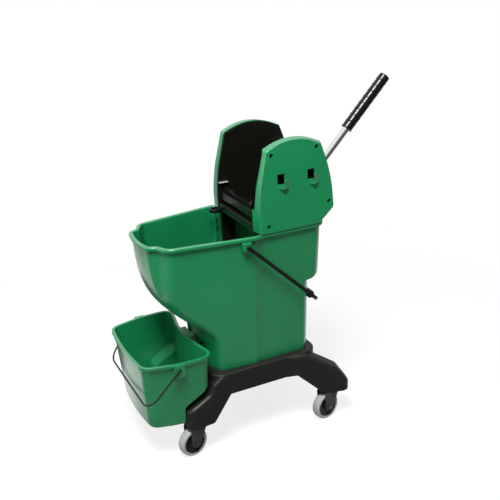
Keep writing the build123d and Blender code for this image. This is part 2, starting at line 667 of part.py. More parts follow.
def main_bail():
    half = BAIL_STRAP_THICK / 2
    corners = []
    for grow in (half, -half):
        y, x, radius = BAIL_HALF_WIDTH + grow, BAIL_REACH + grow, BAIL_CORNER_RADIUS + grow
        run = [(0.0, -y, BAIL_END_RADIUS), (x, -y, radius), (x, y, radius), (0.0, y, BAIL_END_RADIUS)]
        corners += run if grow > 0 else run[::-1]
    bail = extrude(outline(corners), BAIL_STRAP_HEIGHT / 2, both=True)
    bail += both(across(0, 0, BAIL_EYE_DIAMETER, BAIL_HALF_WIDTH - half, BAIL_HALF_WIDTH + half))
    bail -= both(across(0, 0, BAIL_PIN_DIAMETER + 2 * RUNNING_GAP, 0.0, 2 * BAIL_HALF_WIDTH))
    return bail_place() * bail


def bail_place():
    return Pos(BAIL_PIVOT_X, 0, BAIL_PIVOT_Z) * Rot(Y=-BAIL_ANGLE)


def bail_sleeve():
    sleeve = Rot(X=90) * Cylinder(BAIL_SLEEVE_DIAMETER / 2, BAIL_SLEEVE_LENGTH)
    sleeve = fillet(sleeve.edges(), BAIL_SLEEVE_EDGE)
    sleeve -= Box(BAIL_STRAP_THICK + 2 * RUNNING_GAP, 2 * BAIL_SLEEVE_LENGTH,
                  BAIL_STRAP_HEIGHT + 2 * RUNNING_GAP)
    return bail_place() * Pos(BAIL_REACH, 0, 0) * sleeve


def bail_pins():
    outer = BAIL_HALF_WIDTH + BAIL_STRAP_THICK / 2 + FACE_GAP
    pin = across(BAIL_PIVOT_X, BAIL_PIVOT_Z, BAIL_PIN_DIAMETER, BAIL_PIN_TIP_Y, outer + CUT)
    pin += across(BAIL_PIVOT_X, BAIL_PIVOT_Z, BAIL_PIN_HEAD, outer, outer + BAIL_PIN_HEAD_THICK)
    return on_both_sides(pin)


# Pail


def pail_corners(z):
    """Corners of the pail's plan at height z."""
    drop = (PAIL_RIM_Z - z) / (PAIL_RIM_Z - PAIL_BASE_Z)
    front = PAIL_FRONT_X + PAIL_FRONT_DRAFT * drop
    rear = PAIL_REAR_X - PAIL_REAR_DRAFT * drop
    side = PAIL_SIDE_DRAFT * drop
    half = [(rear, PAIL_REAR_HALF - side, PAIL_REAR_RADIUS),
            (PAIL_SIDE_X, PAIL_SIDE_HALF - side, PAIL_SIDE_RADIUS),
            (front, PAIL_FRONT_HALF - side, PAIL_FRONT_RADIUS)]
    corners = mirrored(half)
    corners.insert(len(half), (front - PAIL_FRONT_BOW, 0.0, PAIL_FRONT_BOW_RADIUS))
    return corners + [(rear - PAIL_REAR_HOLLOW, 0.0, PAIL_HOLLOW_RADIUS)]


def pail_body(grow, low, high):
    return loft([Pos(0, 0, z) * outline(pail_corners(z), grow) for z in (low, high)], ruled=True)


def leg_space(grow):
    """Room for a left front leg below the pail, moved out by grow."""
    profile = outline(FRONT_LEG_SPACE, grow)
    block = extrude(Plane.XZ * profile, PAIL_SIDE_HALF)
    block = Pos(0, LEG_WIDTH / 2 + PAIL_LEG_GAP + grow, 0) * block
    return Pos(FRONT_SWIVEL_X, -FRONT_SWIVEL_Y, 0) * Rot(Z=180.0 + FRONT_SPLAY) * mirror(
        Pos(-FRONT_LEG_PLACE, 0, 0) * block, about=Plane.XZ)


def pail():
    outer = pail_body(0.0, PAIL_BASE_Z, PAIL_RIM_Z)
    outer = fillet(outer.faces().sort_by(Axis.Z)[0].edges(), PAIL_BASE_FILLET)
    inner = pail_body(-PAIL_WALL, PAIL_BASE_Z + PAIL_WALL, PAIL_RIM_Z + CUT)
    inner = fillet(inner.faces().sort_by(Axis.Z)[0].edges(), PAIL_BASE_FILLET - PAIL_WALL)
    inner -= both(leg_space(PAIL_WALL))
    rim = pail_corners(PAIL_RIM_Z)
    lip = extrude(Pos(0, 0, PAIL_RIM_Z) * outline(rim, PAIL_LIP), -PAIL_LIP_HEIGHT)
    ear = span(PAIL_EAR_X - PAIL_EAR_WIDTH / 2, PAIL_EAR_X + PAIL_EAR_WIDTH / 2,
               -PAIL_EAR_Y, -PAIL_EAR_ROOT_Y, PAIL_RIM_Z - PAIL_EAR_HEIGHT, PAIL_RIM_Z)
    body = outer - both(leg_space(0.0)) + lip + both(ear) - inner
    pivot_z = PAIL_RIM_Z - PAIL_PIVOT_DROP
    peg_bore = PAIL_WIRE + 2 * RUNNING_GAP
    body -= both(across(PAIL_EAR_X, pivot_z, peg_bore, PAIL_PEG_Y - CUT, PAIL_EAR_Y + CUT_FAR))
    hook_x = HANGER_X + HANGER_THICK + HANGER_GAP
    plate = span(HANGER_X - HANGER_BRIDGE, hook_x + HANGER_THICK, -HANGER_HALF_WIDTH, HANGER_HALF_WIDTH,
                 HANGER_Z + FACE_GAP, PAIL_RIM_Z)
    hook = span(hook_x, hook_x + HANGER_THICK, -HANGER_HALF_WIDTH, HANGER_HALF_WIDTH,
                HANGER_Z - HANGER_HOOK, PAIL_RIM_Z)
    return body + (plate - inner) + hook


def pail_bail():
    drop_x = PAIL_EAR_X - PAIL_WIRE_X
    drop_z = PAIL_RIM_Z - PAIL_PIVOT_DROP - PAIL_WIRE_Z
    reach = hypot(drop_x, drop_z)
    arm_y = PAIL_EAR_Y + FACE_GAP + PAIL_WIRE / 2
    path = FilletPolyline((0, -arm_y, 0), (reach, -arm_y, 0), (reach, arm_y, 0), (0, arm_y, 0),
                          radius=PAIL_WIRE_RADIUS)
    wire = sweep(Plane(origin=path @ 0, z_dir=path % 0) * Circle(PAIL_WIRE / 2), path)
    wire += both(across(0, 0, PAIL_WIRE, PAIL_PEG_Y, arm_y + PAIL_WIRE / 2))
    turn = 180.0 - degrees(atan2(drop_z, drop_x))
    return Pos(PAIL_EAR_X, 0, PAIL_RIM_Z - PAIL_PIVOT_DROP) * Rot(Y=turn) * wire


# Wringer housings


def housing(depth, grow=0.0):
    """Side view of a gear housing at a depth outside its cheek; front and rear lean in with depth."""
    low = RIM_Z + HOUSING_SEAT
    front, rear = COVER_FRONT_LEAN * depth, -COVER_REAR_LEAN * depth
    narrowing = 1.0 + (rear - front) / (HOUSING_TOP_REAR_X - HOUSING_TOP_FRONT_X)
    return outline([
        (HOUSING_FRONT_X + front, low, HOUSING_TOE_RADIUS), (HOUSING_SOLE_X + rear, low, HOUSING_SOLE_RADIUS),
        (HOUSING_HEEL_X + rear, HOUSING_HEEL_Z, HOUSING_HEEL_RADIUS),
        (HOUSING_BELLY_X + rear, HOUSING_BELLY_Z, HOUSING_BELLY_RADIUS),
        (HOUSING_TOP_REAR_X + rear, HOUSING_TOP_REAR_Z, HOUSING_TOP_REAR_RADIUS),
        (HOUSING_CROWN_X + (front + rear) / 2, HOUSING_CROWN_Z, HOUSING_CROWN_RADIUS * narrowing),
        (HOUSING_TOP_FRONT_X + front, HOUSING_TOP_FRONT_Z, HOUSING_TOP_FRONT_RADIUS),
        (HOUSING_BREAST_X + front, HOUSING_BREAST_Z, HOUSING_FRONT_RADIUS),
        (HOUSING_CHEST_X + front, HOUSING_CHEST_Z, HOUSING_FRONT_RADIUS)], grow)


def cover_form(grow):
    """Leaning form of the left cover before its outer face is cut, moved out by grow."""
    sections = [Pos(0, 0, CHEEK_OUTER_Y + depth) * housing(depth, grow) for depth in (0.0, COVER_DEPTH)]
    return Plane.XZ * loft(sections)


def cover_y(z):
    """Outer face of a cover at height z."""
    low = RIM_Z + HOUSING_SEAT
    return COVER_BASE_Y + (COVER_TOP_Y - COVER_BASE_Y) * (z - low) / (HOUSING_TOP_Z - low)


def cover_wedge(inset):
    """All space between a cheek's outer face and the sloping face of the left cover, moved in by inset."""
    low, high = RIM_Z - CUT_FAR, HOUSING_CROWN_Z + CUT_FAR
    inner = CHEEK_OUTER_Y - inset
    corners = [(-inner, low), (-inner, high), (inset - cover_y(high), high), (inset - cover_y(low), low)]
    face = Plane.YZ * make_face(Polyline(*corners, close=True).edges())
    return extrude(face, 2 * HOUSING_HEEL_X, both=True)


def cover_left():
    block = cover_form(0.0) & cover_wedge(0.0)
    block = fillet(block.faces().sort_by(Axis.Y)[0].edges(), COVER_EDGE_RADIUS)
    cover = block - (cover_form(-COVER_WALL) & cover_wedge(COVER_WALL))
    head_bore = SCREW_HEAD_DIAMETER + 2 * SCREW_HEAD_GAP
    for x, z in SCREW_PLACES:
        cover += across(x, z, SCREW_BOSS_DIAMETER, CHEEK_OUTER_Y, cover_y(z) - CUT) & block
        cover -= across(x, z, head_bore, screw_seat(z), COVER_BASE_Y + CUT_FAR)
        cover -= across(x, z, SCREW_BORE, CHEEK_OUTER_Y - CUT, COVER_BASE_Y)
    for x in HOOK_HOLE_X:
        y = cover_y(HOOK_HOLE_Z)
        cover -= span(x - HOOK_HOLE_WIDTH / 2, x + HOOK_HOLE_WIDTH / 2,
                      -y - CUT_FAR, COVER_WALL + CUT_FAR - y,
                      HOOK_HOLE_Z - HOOK_HOLE_HEIGHT / 2, HOOK_HOLE_Z + HOOK_HOLE_HEIGHT / 2)
        cover += hook(x, y)
    return cover


def hook(x, y):
    """Hook below a hole: a wedge off the wall, with a lip along its rear side that is open towards -X."""
    apex, rear = x + HOOK_APEX, x + HOOK_REAR
    wall, lip = COVER_WALL / 2 - y, -y - HOOK_REACH
    wedge = make_face(Polyline((x + HOOK_FRONT, wall), (apex, lip), (rear, wall), close=True).edges())
    strip = make_face(Polyline((apex, lip), (rear, wall), (rear - HOOK_LIP_ROOT, wall),
                               (apex, lip + HOOK_THICK), close=True).edges())
    low = HOOK_HOLE_Z - HOOK_HOLE_HEIGHT / 2 - HOOK_WEDGE
    return extrude(Pos(0, 0, low) * wedge, HOOK_WEDGE) + extrude(Pos(0, 0, low) * strip, HOOK_HEIGHT)


def screw_seat(z):
    return cover_y(z) - SCREW_RECESS - SCREW_HEAD


def cover_screws():
    screws = []
    for x, z in SCREW_PLACES:
        seat = screw_seat(z)
        screw = across(x, z, SCREW_HEAD_DIAMETER, seat, seat + SCREW_HEAD)
        screw += across(x, z, SCREW_DIAMETER, CHEEK_INNER_Y + SCREW_TIP_GAP, seat + CUT)
        socket = extrude(RegularPolygon(SCREW_SOCKET / 2, 6), SCREW_HEAD)
        screw -= Pos(x, -(seat + SCREW_HEAD - SCREW_SOCKET_DEPTH), z) * Rot(X=90) * socket
        screws += [screw, mirror(screw, about=Plane.XZ)]
    return Compound(children=screws)


def cheek_left():
    low = RIM_Z + HOUSING_SEAT
    plate = Pos(0, -CHEEK_INNER_Y, 0) * extrude(Plane.XZ * housing(0.0, -CHEEK_INSET), CHEEK_THICK)
    plate += span(CHEEK_SKIRT_FRONT_X, CHEEK_SKIRT_REAR_X, -CHEEK_OUTER_Y, -CHEEK_INNER_Y,
                  low - CHEEK_SKIRT, low + CUT_FAR)
    plate += span(CHEEK_TONGUE_FRONT_X, CHEEK_TONGUE_REAR_X, -CHEEK_OUTER_Y, -CHEEK_INNER_Y,
                  low - CHEEK_TONGUE, low + CUT_FAR)
    wall = half_width(low - CHEEK_SKIRT) - SIDE_STEP - OVERHANG_INSET - WALL
    for x in CHEEK_PADS_X:
        plate += span(x - CHEEK_PAD_THICK / 2, x + CHEEK_PAD_THICK / 2, CHEEK_PAD_GAP - wall, -CHEEK_INNER_Y,
                      low - CHEEK_SKIRT, low - CUT)
    for x, z, diameter in ((SHAFT_X, SHAFT_Z, SHAFT_DIAMETER), (PRESS_X, PRESS_Z, PRESS_SHAFT_DIAMETER)):
        plate -= across(x, z, diameter + 2 * BUSH_WALL + 2 * RUNNING_GAP, 0.0, 2 * CHEEK_OUTER_Y)
    for x, z in SCREW_PLACES + FRAME_SCREW_PLACES:
        plate -= across(x, z, SCREW_BORE, 0.0, 2 * CHEEK_OUTER_Y)
    return plate


def frame_screws():
    screws = []
    for x, z in FRAME_SCREW_PLACES:
        screw = across(x, z, FRAME_SCREW_HEAD_DIAMETER, CHEEK_OUTER_Y, CHEEK_OUTER_Y + SCREW_HEAD)
        screw += across(x, z, SCREW_DIAMETER, CHEEK_INNER_Y - FRAME_SCREW_REACH, CHEEK_OUTER_Y + CUT)
        screws += [screw, mirror(screw, about=Plane.XZ)]
    return Compound(children=screws)


# Cross pieces between the cheeks


def frame_holes(shape):
    """The shape with holes for the frame screws that reach into its ends."""
    for x, z in FRAME_SCREW_PLACES:
        shape -= both(across(x, z, SCREW_BORE,
                             CHEEK_INNER_Y - FRAME_SCREW_REACH - CUT, CHEEK_INNER_Y))
    return shape


def front_beam():
    rear = BEAM_FRONT_X + BEAM_DEPTH
    top = BEAM_LOW_Z + BEAM_HEIGHT
    y = CHEEK_INNER_Y
    beam = span(BEAM_FRONT_X, rear, -y, y, BEAM_LOW_Z, top)
    beam -= span(BEAM_FRONT_X + BEAM_WALL, rear - BEAM_WALL, BEAM_END - y, y - BEAM_END,
                 BEAM_LOW_Z - CUT, top - BEAM_WALL)
    return frame_holes(beam)


def front_jaw():
    y = CHEEK_INNER_Y
    ledge_z = JAW_LEDGE_Z
    lip_x = JAW_LIP_X + JAW_THICK
    jaw = span(JAW_LIP_X, lip_x, -y, y, JAW_LIP_TOP_Z - JAW_LIP_HEIGHT, JAW_LIP_TOP_Z)
    ledge = span(JAW_LIP_X, JAW_FLANGE_X, -y, y, ledge_z - JAW_THICK, ledge_z)
    for i in range(JAW_HOLES):
        at = -y + 2 * y * (i + 0.5) / JAW_HOLES
        ledge -= upright_rod((lip_x + JAW_FLANGE_X - JAW_THICK) / 2, at, JAW_HOLE_DIAMETER,
                             ledge_z - CUT_FAR, ledge_z + CUT_FAR)
    flange = span(JAW_FLANGE_X - JAW_THICK, JAW_FLANGE_X, -y, y, ledge_z - JAW_THICK, JAW_FLANGE_TOP_Z)
    scoop_radius = (JAW_SCOOP_HALF ** 2 + JAW_SCOOP ** 2) / (2 * JAW_SCOOP)
    flange -= Pos(JAW_FLANGE_X, 0, JAW_FLANGE_TOP_Z - JAW_SCOOP + scoop_radius) * Rot(Y=90) * Cylinder(
        scoop_radius, 6 * JAW_THICK)
    run = JAW_REAR_X - JAW_FLANGE_X
    fall = ledge_z - JAW_REAR_Z
    grille = Plane.XZ * make_face(Polyline(
        (JAW_FLANGE_X - JAW_THICK, ledge_z), (JAW_FLANGE_X - JAW_THICK, ledge_z - JAW_THICK),
        (JAW_REAR_X, JAW_REAR_Z - JAW_THICK), (JAW_REAR_X, JAW_REAR_Z), (JAW_FLANGE_X, ledge_z),
        close=True).edges())
    grille = extrude(grille, y, both=True)
    slope = degrees(atan2(fall, run))
    for i in range(JAW_SLOTS):
        at = -y + 2 * y * (i + 0.5) / JAW_SLOTS
        slot = extrude(SlotOverall(JAW_SLOT_LENGTH, SLOT_WIDTH), 4 * JAW_THICK, both=True)
        grille -= Pos((JAW_FLANGE_X + JAW_REAR_X) / 2, at, (ledge_z + JAW_REAR_Z) / 2) * Rot(Y=slope) * slot
    end = Plane.XZ * make_face(Polyline(
        (JAW_LIP_X, JAW_LIP_TOP_Z - JAW_LIP_HEIGHT), (JAW_END_X, JAW_END_Z),
        (JAW_REAR_X, JAW_REAR_Z - JAW_THICK), (JAW_REAR_X, JAW_REAR_Z), (JAW_FLANGE_X, ledge_z),
        (JAW_LIP_X, ledge_z), close=True).edges())
    end = Pos(0, JAW_END_THICK - y, 0) * extrude(end, JAW_END_THICK)
    return frame_holes(jaw + ledge + flange + grille + both(end))


def tie_rod():
    return frame_holes(both(across(TIE_X, TIE_Z, TIE_DIAMETER, 0.0, CHEEK_INNER_Y)))


def tool_ring():
    ring = upright_rod(RING_X, RING_Y, RING_OUTER, RING_LOW_Z, RING_LOW_Z + RING_HEIGHT)
    ring += span(RING_X, BEAM_FRONT_X, RING_Y - RING_ARM / 2, RING_Y + RING_ARM / 2,
                 RING_LOW_Z, RING_LOW_Z + RING_HEIGHT)
    return ring - upright_rod(RING_X, RING_Y, RING_BORE, RING_LOW_Z - CUT, RING_LOW_Z + RING_HEIGHT + CUT)


# Drive


def gear_face(teeth, kept, hub_radius):
    """Involute gear of which only the kept teeth stand, one centred on +X; the rest is a plain hub."""
    pitch = GEAR_MODULE * teeth / 2
    base = pitch * cos(radians(PRESSURE_ANGLE))
    tip = pitch + GEAR_MODULE
    root = pitch - GEAR_DEDENDUM * GEAR_MODULE
    alpha = radians(PRESSURE_ANGLE)
    half = pi / (2 * teeth) - GEAR_BACKLASH / (4 * pitch) + tan(alpha) - alpha
    flank = []
    for i in range(FLANK_POINTS):
        radius = max(base, root) + (tip - max(base, root)) * i / (FLANK_POINTS - 1)
        roll = acos(min(1.0, base / radius))
        flank.append((radius, half - (tan(roll) - roll)))
    if root < base:
        flank.insert(0, (root, half))
    points = []
    first = -(kept // 2)
    for k in range(first, first + kept):
        middle = 2 * pi * k / teeth
        points += [(r, middle - a) for r, a in flank] + [(r, middle + a) for r, a in reversed(flank)]
    if kept < teeth:
        start, stop = points[-1][1], points[0][1] + 2 * pi
        points += [(hub_radius, start + (stop - start) * i / HUB_POINTS) for i in range(HUB_POINTS + 1)]
    return make_face(Polyline(*[(r * cos(a), r * sin(a)) for r, a in points], close=True).edges())


def gear_left(teeth, kept, x, z, shaft, phase):
    face = Pos(x, z) * Rot(Z=phase) * gear_face(teeth, kept, shaft / 2 + SECTOR_HUB)
    gear = Pos(0, -GEAR_INNER_Y, 0) * extrude(Plane.XZ * face, GEAR_WIDTH)
    return gear - across(x, z, shaft + 2 * RUNNING_GAP, 0.0, 2 * GEAR_INNER_Y)


def pinion_left():
    return gear_left(PINION_TEETH, PINION_TEETH, SHAFT_X, SHAFT_Z, SHAFT_DIAMETER,
                     GEAR_LINE_ANGLE + 180.0 / PINION_TEETH)


def sector_left():
    return gear_left(SECTOR_TEETH, SECTOR_KEPT_TEETH, PRESS_X, PRESS_Z, PRESS_SHAFT_DIAMETER,
                     GEAR_LINE_ANGLE + 180.0)


def shaft(x, z, diameter):
    end = GEAR_INNER_Y + GEAR_WIDTH + SHAFT_END
    return both(across(x, z, diameter, 0.0, end))


def bushes(x, z, diameter):
    outer = diameter + 2 * BUSH_WALL
    bush = across(x, z, outer, CHEEK_INNER_Y, CHEEK_OUTER_Y)
    bush += across(x, z, outer + 2 * BUSH_FLANGE, CHEEK_INNER_Y - BUSH_FLANGE_THICK, CHEEK_INNER_Y)
    bush -= across(x, z, diameter + 2 * RUNNING_GAP, 0.0, 2 * CHEEK_OUTER_Y)
    return on_both_sides(bush)


# Lever, modelled along +X beside its shaft


def lever_place():
    return Pos(SHAFT_X, 0, SHAFT_Z) * Rot(Y=-LEVER_ANGLE)


def along(diameter, start, end):
    """Rod along the lever's axis."""
    return Pos(start, 0, -LEVER_OFFSET) * Rot(Y=90) * Cylinder(
        diameter / 2, end - start, align=(Align.CENTER, Align.CENTER, Align.MIN))


def bolt_hole():
    return both(across(LEVER_BOLT_PLACE, -LEVER_OFFSET, LEVER_BOLT_HOLE, 0.0, SOCKET_DIAMETER))


def lever_hub():
    hub = both(across(0, 0, LEVER_HUB_DIAMETER, 0.0, LEVER_HUB_WIDTH / 2))
    hub += along(SOCKET_DIAMETER, 0.0, SOCKET_LENGTH)
    hub -= along(LEVER_TUBE_DIAMETER + 2 * RUNNING_GAP, SOCKET_LENGTH - SOCKET_DEPTH, SOCKET_LENGTH + CUT)
    hub -= both(across(0, 0, SHAFT_DIAMETER + 2 * RUNNING_GAP, 0.0, LEVER_HUB_WIDTH))
    return lever_place() * (hub - bolt_hole())


def lever_tube():
    start, end = SOCKET_LENGTH - SOCKET_DEPTH, LEVER_LENGTH - GRIP_CAP
    tube = along(LEVER_TUBE_DIAMETER, start, end)
    tube -= along(LEVER_TUBE_DIAMETER - 2 * LEVER_TUBE_WALL, start - CUT, end + CUT)
    return lever_place() * (tube - bolt_hole())


def lever_bolt():
    face = SOCKET_DIAMETER / 2 + FACE_GAP
    bolt = both(across(LEVER_BOLT_PLACE, -LEVER_OFFSET, LEVER_BOLT_DIAMETER, 0.0, face + CUT))
    head = extrude(RegularPolygon(LEVER_BOLT_DIAMETER, 6), LEVER_BOLT_HEAD)
    head = Pos(LEVER_BOLT_PLACE, -face, -LEVER_OFFSET) * Rot(X=90) * head
    return lever_place() * (bolt + both(head))


def lever_grip():
    """Sleeve over the lever's end, its length parted by raised rings; the first ring stands at its mouth."""
    start = LEVER_LENGTH - GRIP_LENGTH
    grip = along(GRIP_DIAMETER, start, LEVER_LENGTH)
    grip = fillet(grip.edges().sort_by(Axis.X)[-1], GRIP_END_RADIUS)
    for i in range(GRIP_PITCHES):
        at = start + GRIP_LENGTH * i / GRIP_PITCHES
        ring = along(GRIP_RING_DIAMETER, at, at + GRIP_RING_WIDTH)
        grip += chamfer(ring.edges().filter_by(GeomType.CIRCLE), GRIP_RING_CHAMFER)
    bore = along(LEVER_TUBE_DIAMETER + 2 * RUNNING_GAP, start - CUT, LEVER_LENGTH - GRIP_CAP)
    return lever_place() * (grip - bore)


# Press, modelled upright about its shaft


def press_plate():
    half = CHEEK_INNER_Y - PRESS_SIDE_GAP
    back = -PRESS_OFFSET + PRESS_THICK
    plate = span(-PRESS_OFFSET, back, -half, half, -PRESS_FOOT, PRESS_HEIGHT)
    for i in range(PRESS_SLOTS):
        at = -half + 2 * half * (i + 0.5) / PRESS_SLOTS
        for low, high in PRESS_SLOT_ROWS:
            slot = extrude(SlotOverall(high - low, SLOT_WIDTH), 4 * PRESS_THICK, both=True)
            plate -= Pos(-PRESS_OFFSET, at, (low + high) / 2) * Rot(Y=90) * slot
    plate += both(across(0, 0, PRESS_HUB_DIAMETER, 0.0, half))
    rib_top = PRESS_HEIGHT - PRESS_RIB_DROP
    rib_face = Plane.XZ * make_face(Polyline(
        (back - CUT, -PRESS_FOOT), (back + PRESS_RIB_DEPTH, 0.0), (back + PRESS_RIB_TOP, rib_top),
        (back - CUT, rib_top), close=True).edges())
    rib = extrude(rib_face, PRESS_RIB_THICK / 2, both=True)
    for i in range(PRESS_SLOTS + 1):
        at = (2 * i / PRESS_SLOTS - 1) * (half - PRESS_RIB_THICK / 2)
        plate += Pos(0, at, 0) * rib
    plate -= both(across(0, 0, PRESS_SHAFT_DIAMETER + 2 * RUNNING_GAP, 0.0, 2 * half))
    return Pos(PRESS_X, 0, PRESS_Z) * Rot(Y=PRESS_LEAN) * plate


if __name__ == "__main__":
    nodes = {
        "bucket": bucket(),
        "chassis": chassis(),
        "base_screws": base_screws(),
        "main_bail": main_bail(),
        "bail_sleeve": bail_sleeve(),
        "bail_pins": bail_pins(),
        "pail": pail(),
        "pail_bail": pail_bail(),
        "cheek_left": cheek_left(),
        "cheek_right": right_of(cheek_left()),
        "cover_left": cover_left(),
        "cover_right": right_of(cover_left()),
        "cover_screws": cover_screws(),
        "frame_screws": frame_screws(),
        "front_beam": front_beam(),
        "front_jaw": front_jaw(),
        "tie_rod": tie_rod(),
        "tool_ring": tool_ring(),
        "lever_shaft": shaft(SHAFT_X, SHAFT_Z, SHAFT_DIAMETER),
        "lever_bushes": bushes(SHAFT_X, SHAFT_Z, SHAFT_DIAMETER),
        "pinion_left": pinion_left(),
        "pinion_right": right_of(pinion_left()),
        "lever_hub": lever_hub(),
        "lever_tube": lever_tube(),
        "lever_grip": lever_grip(),
        "lever_bolt": lever_bolt(),
        "press_shaft": shaft(PRESS_X, PRESS_Z, PRESS_SHAFT_DIAMETER),
        "press_bushes": bushes(PRESS_X, PRESS_Z, PRESS_SHAFT_DIAMETER),
        "sector_left": sector_left(),
        "sector_right": right_of(sector_left()),
        "press_plate": press_plate(),
    }
    nodes.update(casters())
    os.makedirs("parts", exist_ok=True)
    for name, solid in nodes.items():
        export_step(solid, f"parts/{name}.step")
        print(name, solid.is_valid, round(solid.volume))
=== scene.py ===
import json
import bmesh
import bpy
from math import atan2, cos, exp, pi, radians, sin, tan
from mathutils import Matrix, Vector


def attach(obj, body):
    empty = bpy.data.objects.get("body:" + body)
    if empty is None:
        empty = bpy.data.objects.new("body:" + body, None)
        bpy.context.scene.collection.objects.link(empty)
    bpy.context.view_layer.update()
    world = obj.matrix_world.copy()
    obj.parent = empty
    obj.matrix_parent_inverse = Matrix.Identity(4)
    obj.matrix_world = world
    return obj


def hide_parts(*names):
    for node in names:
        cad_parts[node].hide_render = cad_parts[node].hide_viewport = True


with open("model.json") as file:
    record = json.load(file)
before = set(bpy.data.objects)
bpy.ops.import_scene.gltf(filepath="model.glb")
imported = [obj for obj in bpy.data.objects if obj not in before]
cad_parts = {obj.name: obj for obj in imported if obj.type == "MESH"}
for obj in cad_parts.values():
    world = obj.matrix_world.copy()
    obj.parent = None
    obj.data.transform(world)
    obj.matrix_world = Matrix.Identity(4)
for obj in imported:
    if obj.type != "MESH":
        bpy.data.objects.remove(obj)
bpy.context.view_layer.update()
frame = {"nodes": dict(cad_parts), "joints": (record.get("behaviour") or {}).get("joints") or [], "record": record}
nodes = frame["nodes"]

# Studio: white paper under and behind the object, seen from the front left and above. Glossy faces mirror it
# bright only behind the object, so those turned to the viewer keep their colour. A key lamp stands high in
# front, with weak lamps behind and to the left, in an even world.
scene = bpy.context.scene
scene.view_settings.view_transform = "Standard"
MM = 0.001
AZIMUTH = radians(-25.87)
ELEVATION = radians(22.37)
ROLL = radians(-2.2)
TARGET = Vector((-24.0, 0.0, 464.5)) * MM
DISTANCE = 1979.4 * MM
LENS = 55.8
SENSOR = 36.0

camera_back = Vector((sin(AZIMUTH) * cos(ELEVATION), -cos(AZIMUTH) * cos(ELEVATION), sin(ELEVATION)))
level_right = Vector((cos(AZIMUTH), sin(AZIMUTH), 0.0))
level_up = camera_back.cross(level_right)
camera_right = cos(ROLL) * level_right + sin(ROLL) * level_up
camera_up = cos(ROLL) * level_up - sin(ROLL) * level_right
camera = bpy.data.objects.new("camera", bpy.data.cameras.new("camera"))
camera.data.lens = LENS
camera.data.sensor_width = SENSOR
axes = Matrix((camera_right, camera_up, camera_back)).transposed()
camera.matrix_world = Matrix.Translation(TARGET + DISTANCE * camera_back) @ axes.to_4x4()
scene.collection.objects.link(camera)
scene.camera = camera


def wire(tree, source, target):
    """Joins an output socket to an input socket."""
    tree.links.new(source, target)


def math_node(tree, operation, first, second):
    """Math node on two sockets or numbers; returns its result."""
    node = tree.nodes.new("ShaderNodeMath")
    node.operation = operation
    for socket, value in zip(node.inputs, (first, second)):
        if isinstance(value, float):
            socket.default_value = value
        else:
            wire(tree, value, socket)
    return node.outputs[0]


def vector_node(tree, operation, first, second=(0.0, 0.0, 0.0)):
    """Vector Math node on a socket and a fixed vector; returns its outputs."""
    node = tree.nodes.new("ShaderNodeVectorMath")
    node.operation = operation
    wire(tree, first, node.inputs[0])
    node.inputs[1].default_value = second
    return node.outputs


def ramp(tree, value, start, end, low, high):
    """Low up to start, high from end on, and even in between."""
    node = tree.nodes.new("ShaderNodeMapRange")
    for name, number in (("From Min", start), ("From Max", end), ("To Min", low), ("To Max", high)):
        node.inputs[name].default_value = number
    wire(tree, value, node.inputs["Value"])
    return node.outputs["Result"]


def seen_white(tree, straight, mirrored):
    """How far a ray sees plain white: straight from the camera, or mirrored by way of metal or glass."""
    path = tree.nodes.new("ShaderNodeLightPath")
    shiny = math_node(tree, "MAXIMUM", path.outputs["Is Glossy Ray"], path.outputs["Is Transmission Ray"])
    straight = math_node(tree, "MULTIPLY", path.outputs["Is Camera Ray"], straight)
    return math_node(tree, "MAXIMUM", straight, math_node(tree, "MULTIPLY", shiny, mirrored))


# World: the way to the white wall and to the softbox, and the cosines between which each fades in
WALL_BACK = (-0.5, 0.87, 0.0)
WALL_EDGE = (0.0, 0.8)
SOFTBOX = (-0.62, -0.3, 0.72)
SOFTBOX_EDGE = (0.78, 0.9)
WORLD_LIGHT = 0.22
WHITE = (1.0, 1.0, 1.0, 1.0)
world = bpy.data.worlds.new("studio")
world.use_nodes = True
scene.world = world
tree = world.node_tree
tree.nodes.clear()
sight = tree.nodes.new("ShaderNodeTexCoord").outputs["Generated"]
wall = ramp(tree, vector_node(tree, "DOT_PRODUCT", sight, WALL_BACK)["Value"], *WALL_EDGE, 0.0, 1.0)
softbox = ramp(tree, vector_node(tree, "DOT_PRODUCT", sight, SOFTBOX)["Value"], *SOFTBOX_EDGE, 0.0, 1.0)
surround = tree.nodes.new("ShaderNodeBackground")
surround.inputs["Strength"].default_value = WORLD_LIGHT
white = tree.nodes.new("ShaderNodeBackground")
for background in (surround, white):
    background.inputs["Color"].default_value = WHITE
pick = tree.nodes.new("ShaderNodeMixShader")
wire(tree, seen_white(tree, 1.0, math_node(tree, "MAXIMUM", wall, softbox)), pick.inputs[0])
wire(tree, surround.outputs[0], pick.inputs[1])
wire(tree, white.outputs[0], pick.inputs[2])
wire(tree, pick.outputs[0], tree.nodes.new("ShaderNodeOutputWorld").inputs["Surface"])

MIDDLE = (0.0, 0.0, 0.4)


def lamp(name, place, size, power):
    """Square soft lamp turned to the object's middle, sizes in metres, power in watts."""
    light = bpy.data.lights.new(name, "AREA")
    light.shape = "SQUARE"
    light.size = size
    light.energy = power
    holder = bpy.data.objects.new(name, light)
    holder.location = place
    holder.rotation_euler = (Vector(MIDDLE) - Vector(place)).to_track_quat("-Z", "Y").to_euler()
    scene.collection.objects.link(holder)
    return holder


key = lamp("key", place=(-0.8, -1.0, 2.6), size=0.8, power=104.0)
lamp("rear", place=(0.6, 0.6, 2.6), size=1.6, power=12.0)
lamp("left", place=(-2.2, 0.2, 0.9), size=1.2, power=12.0)

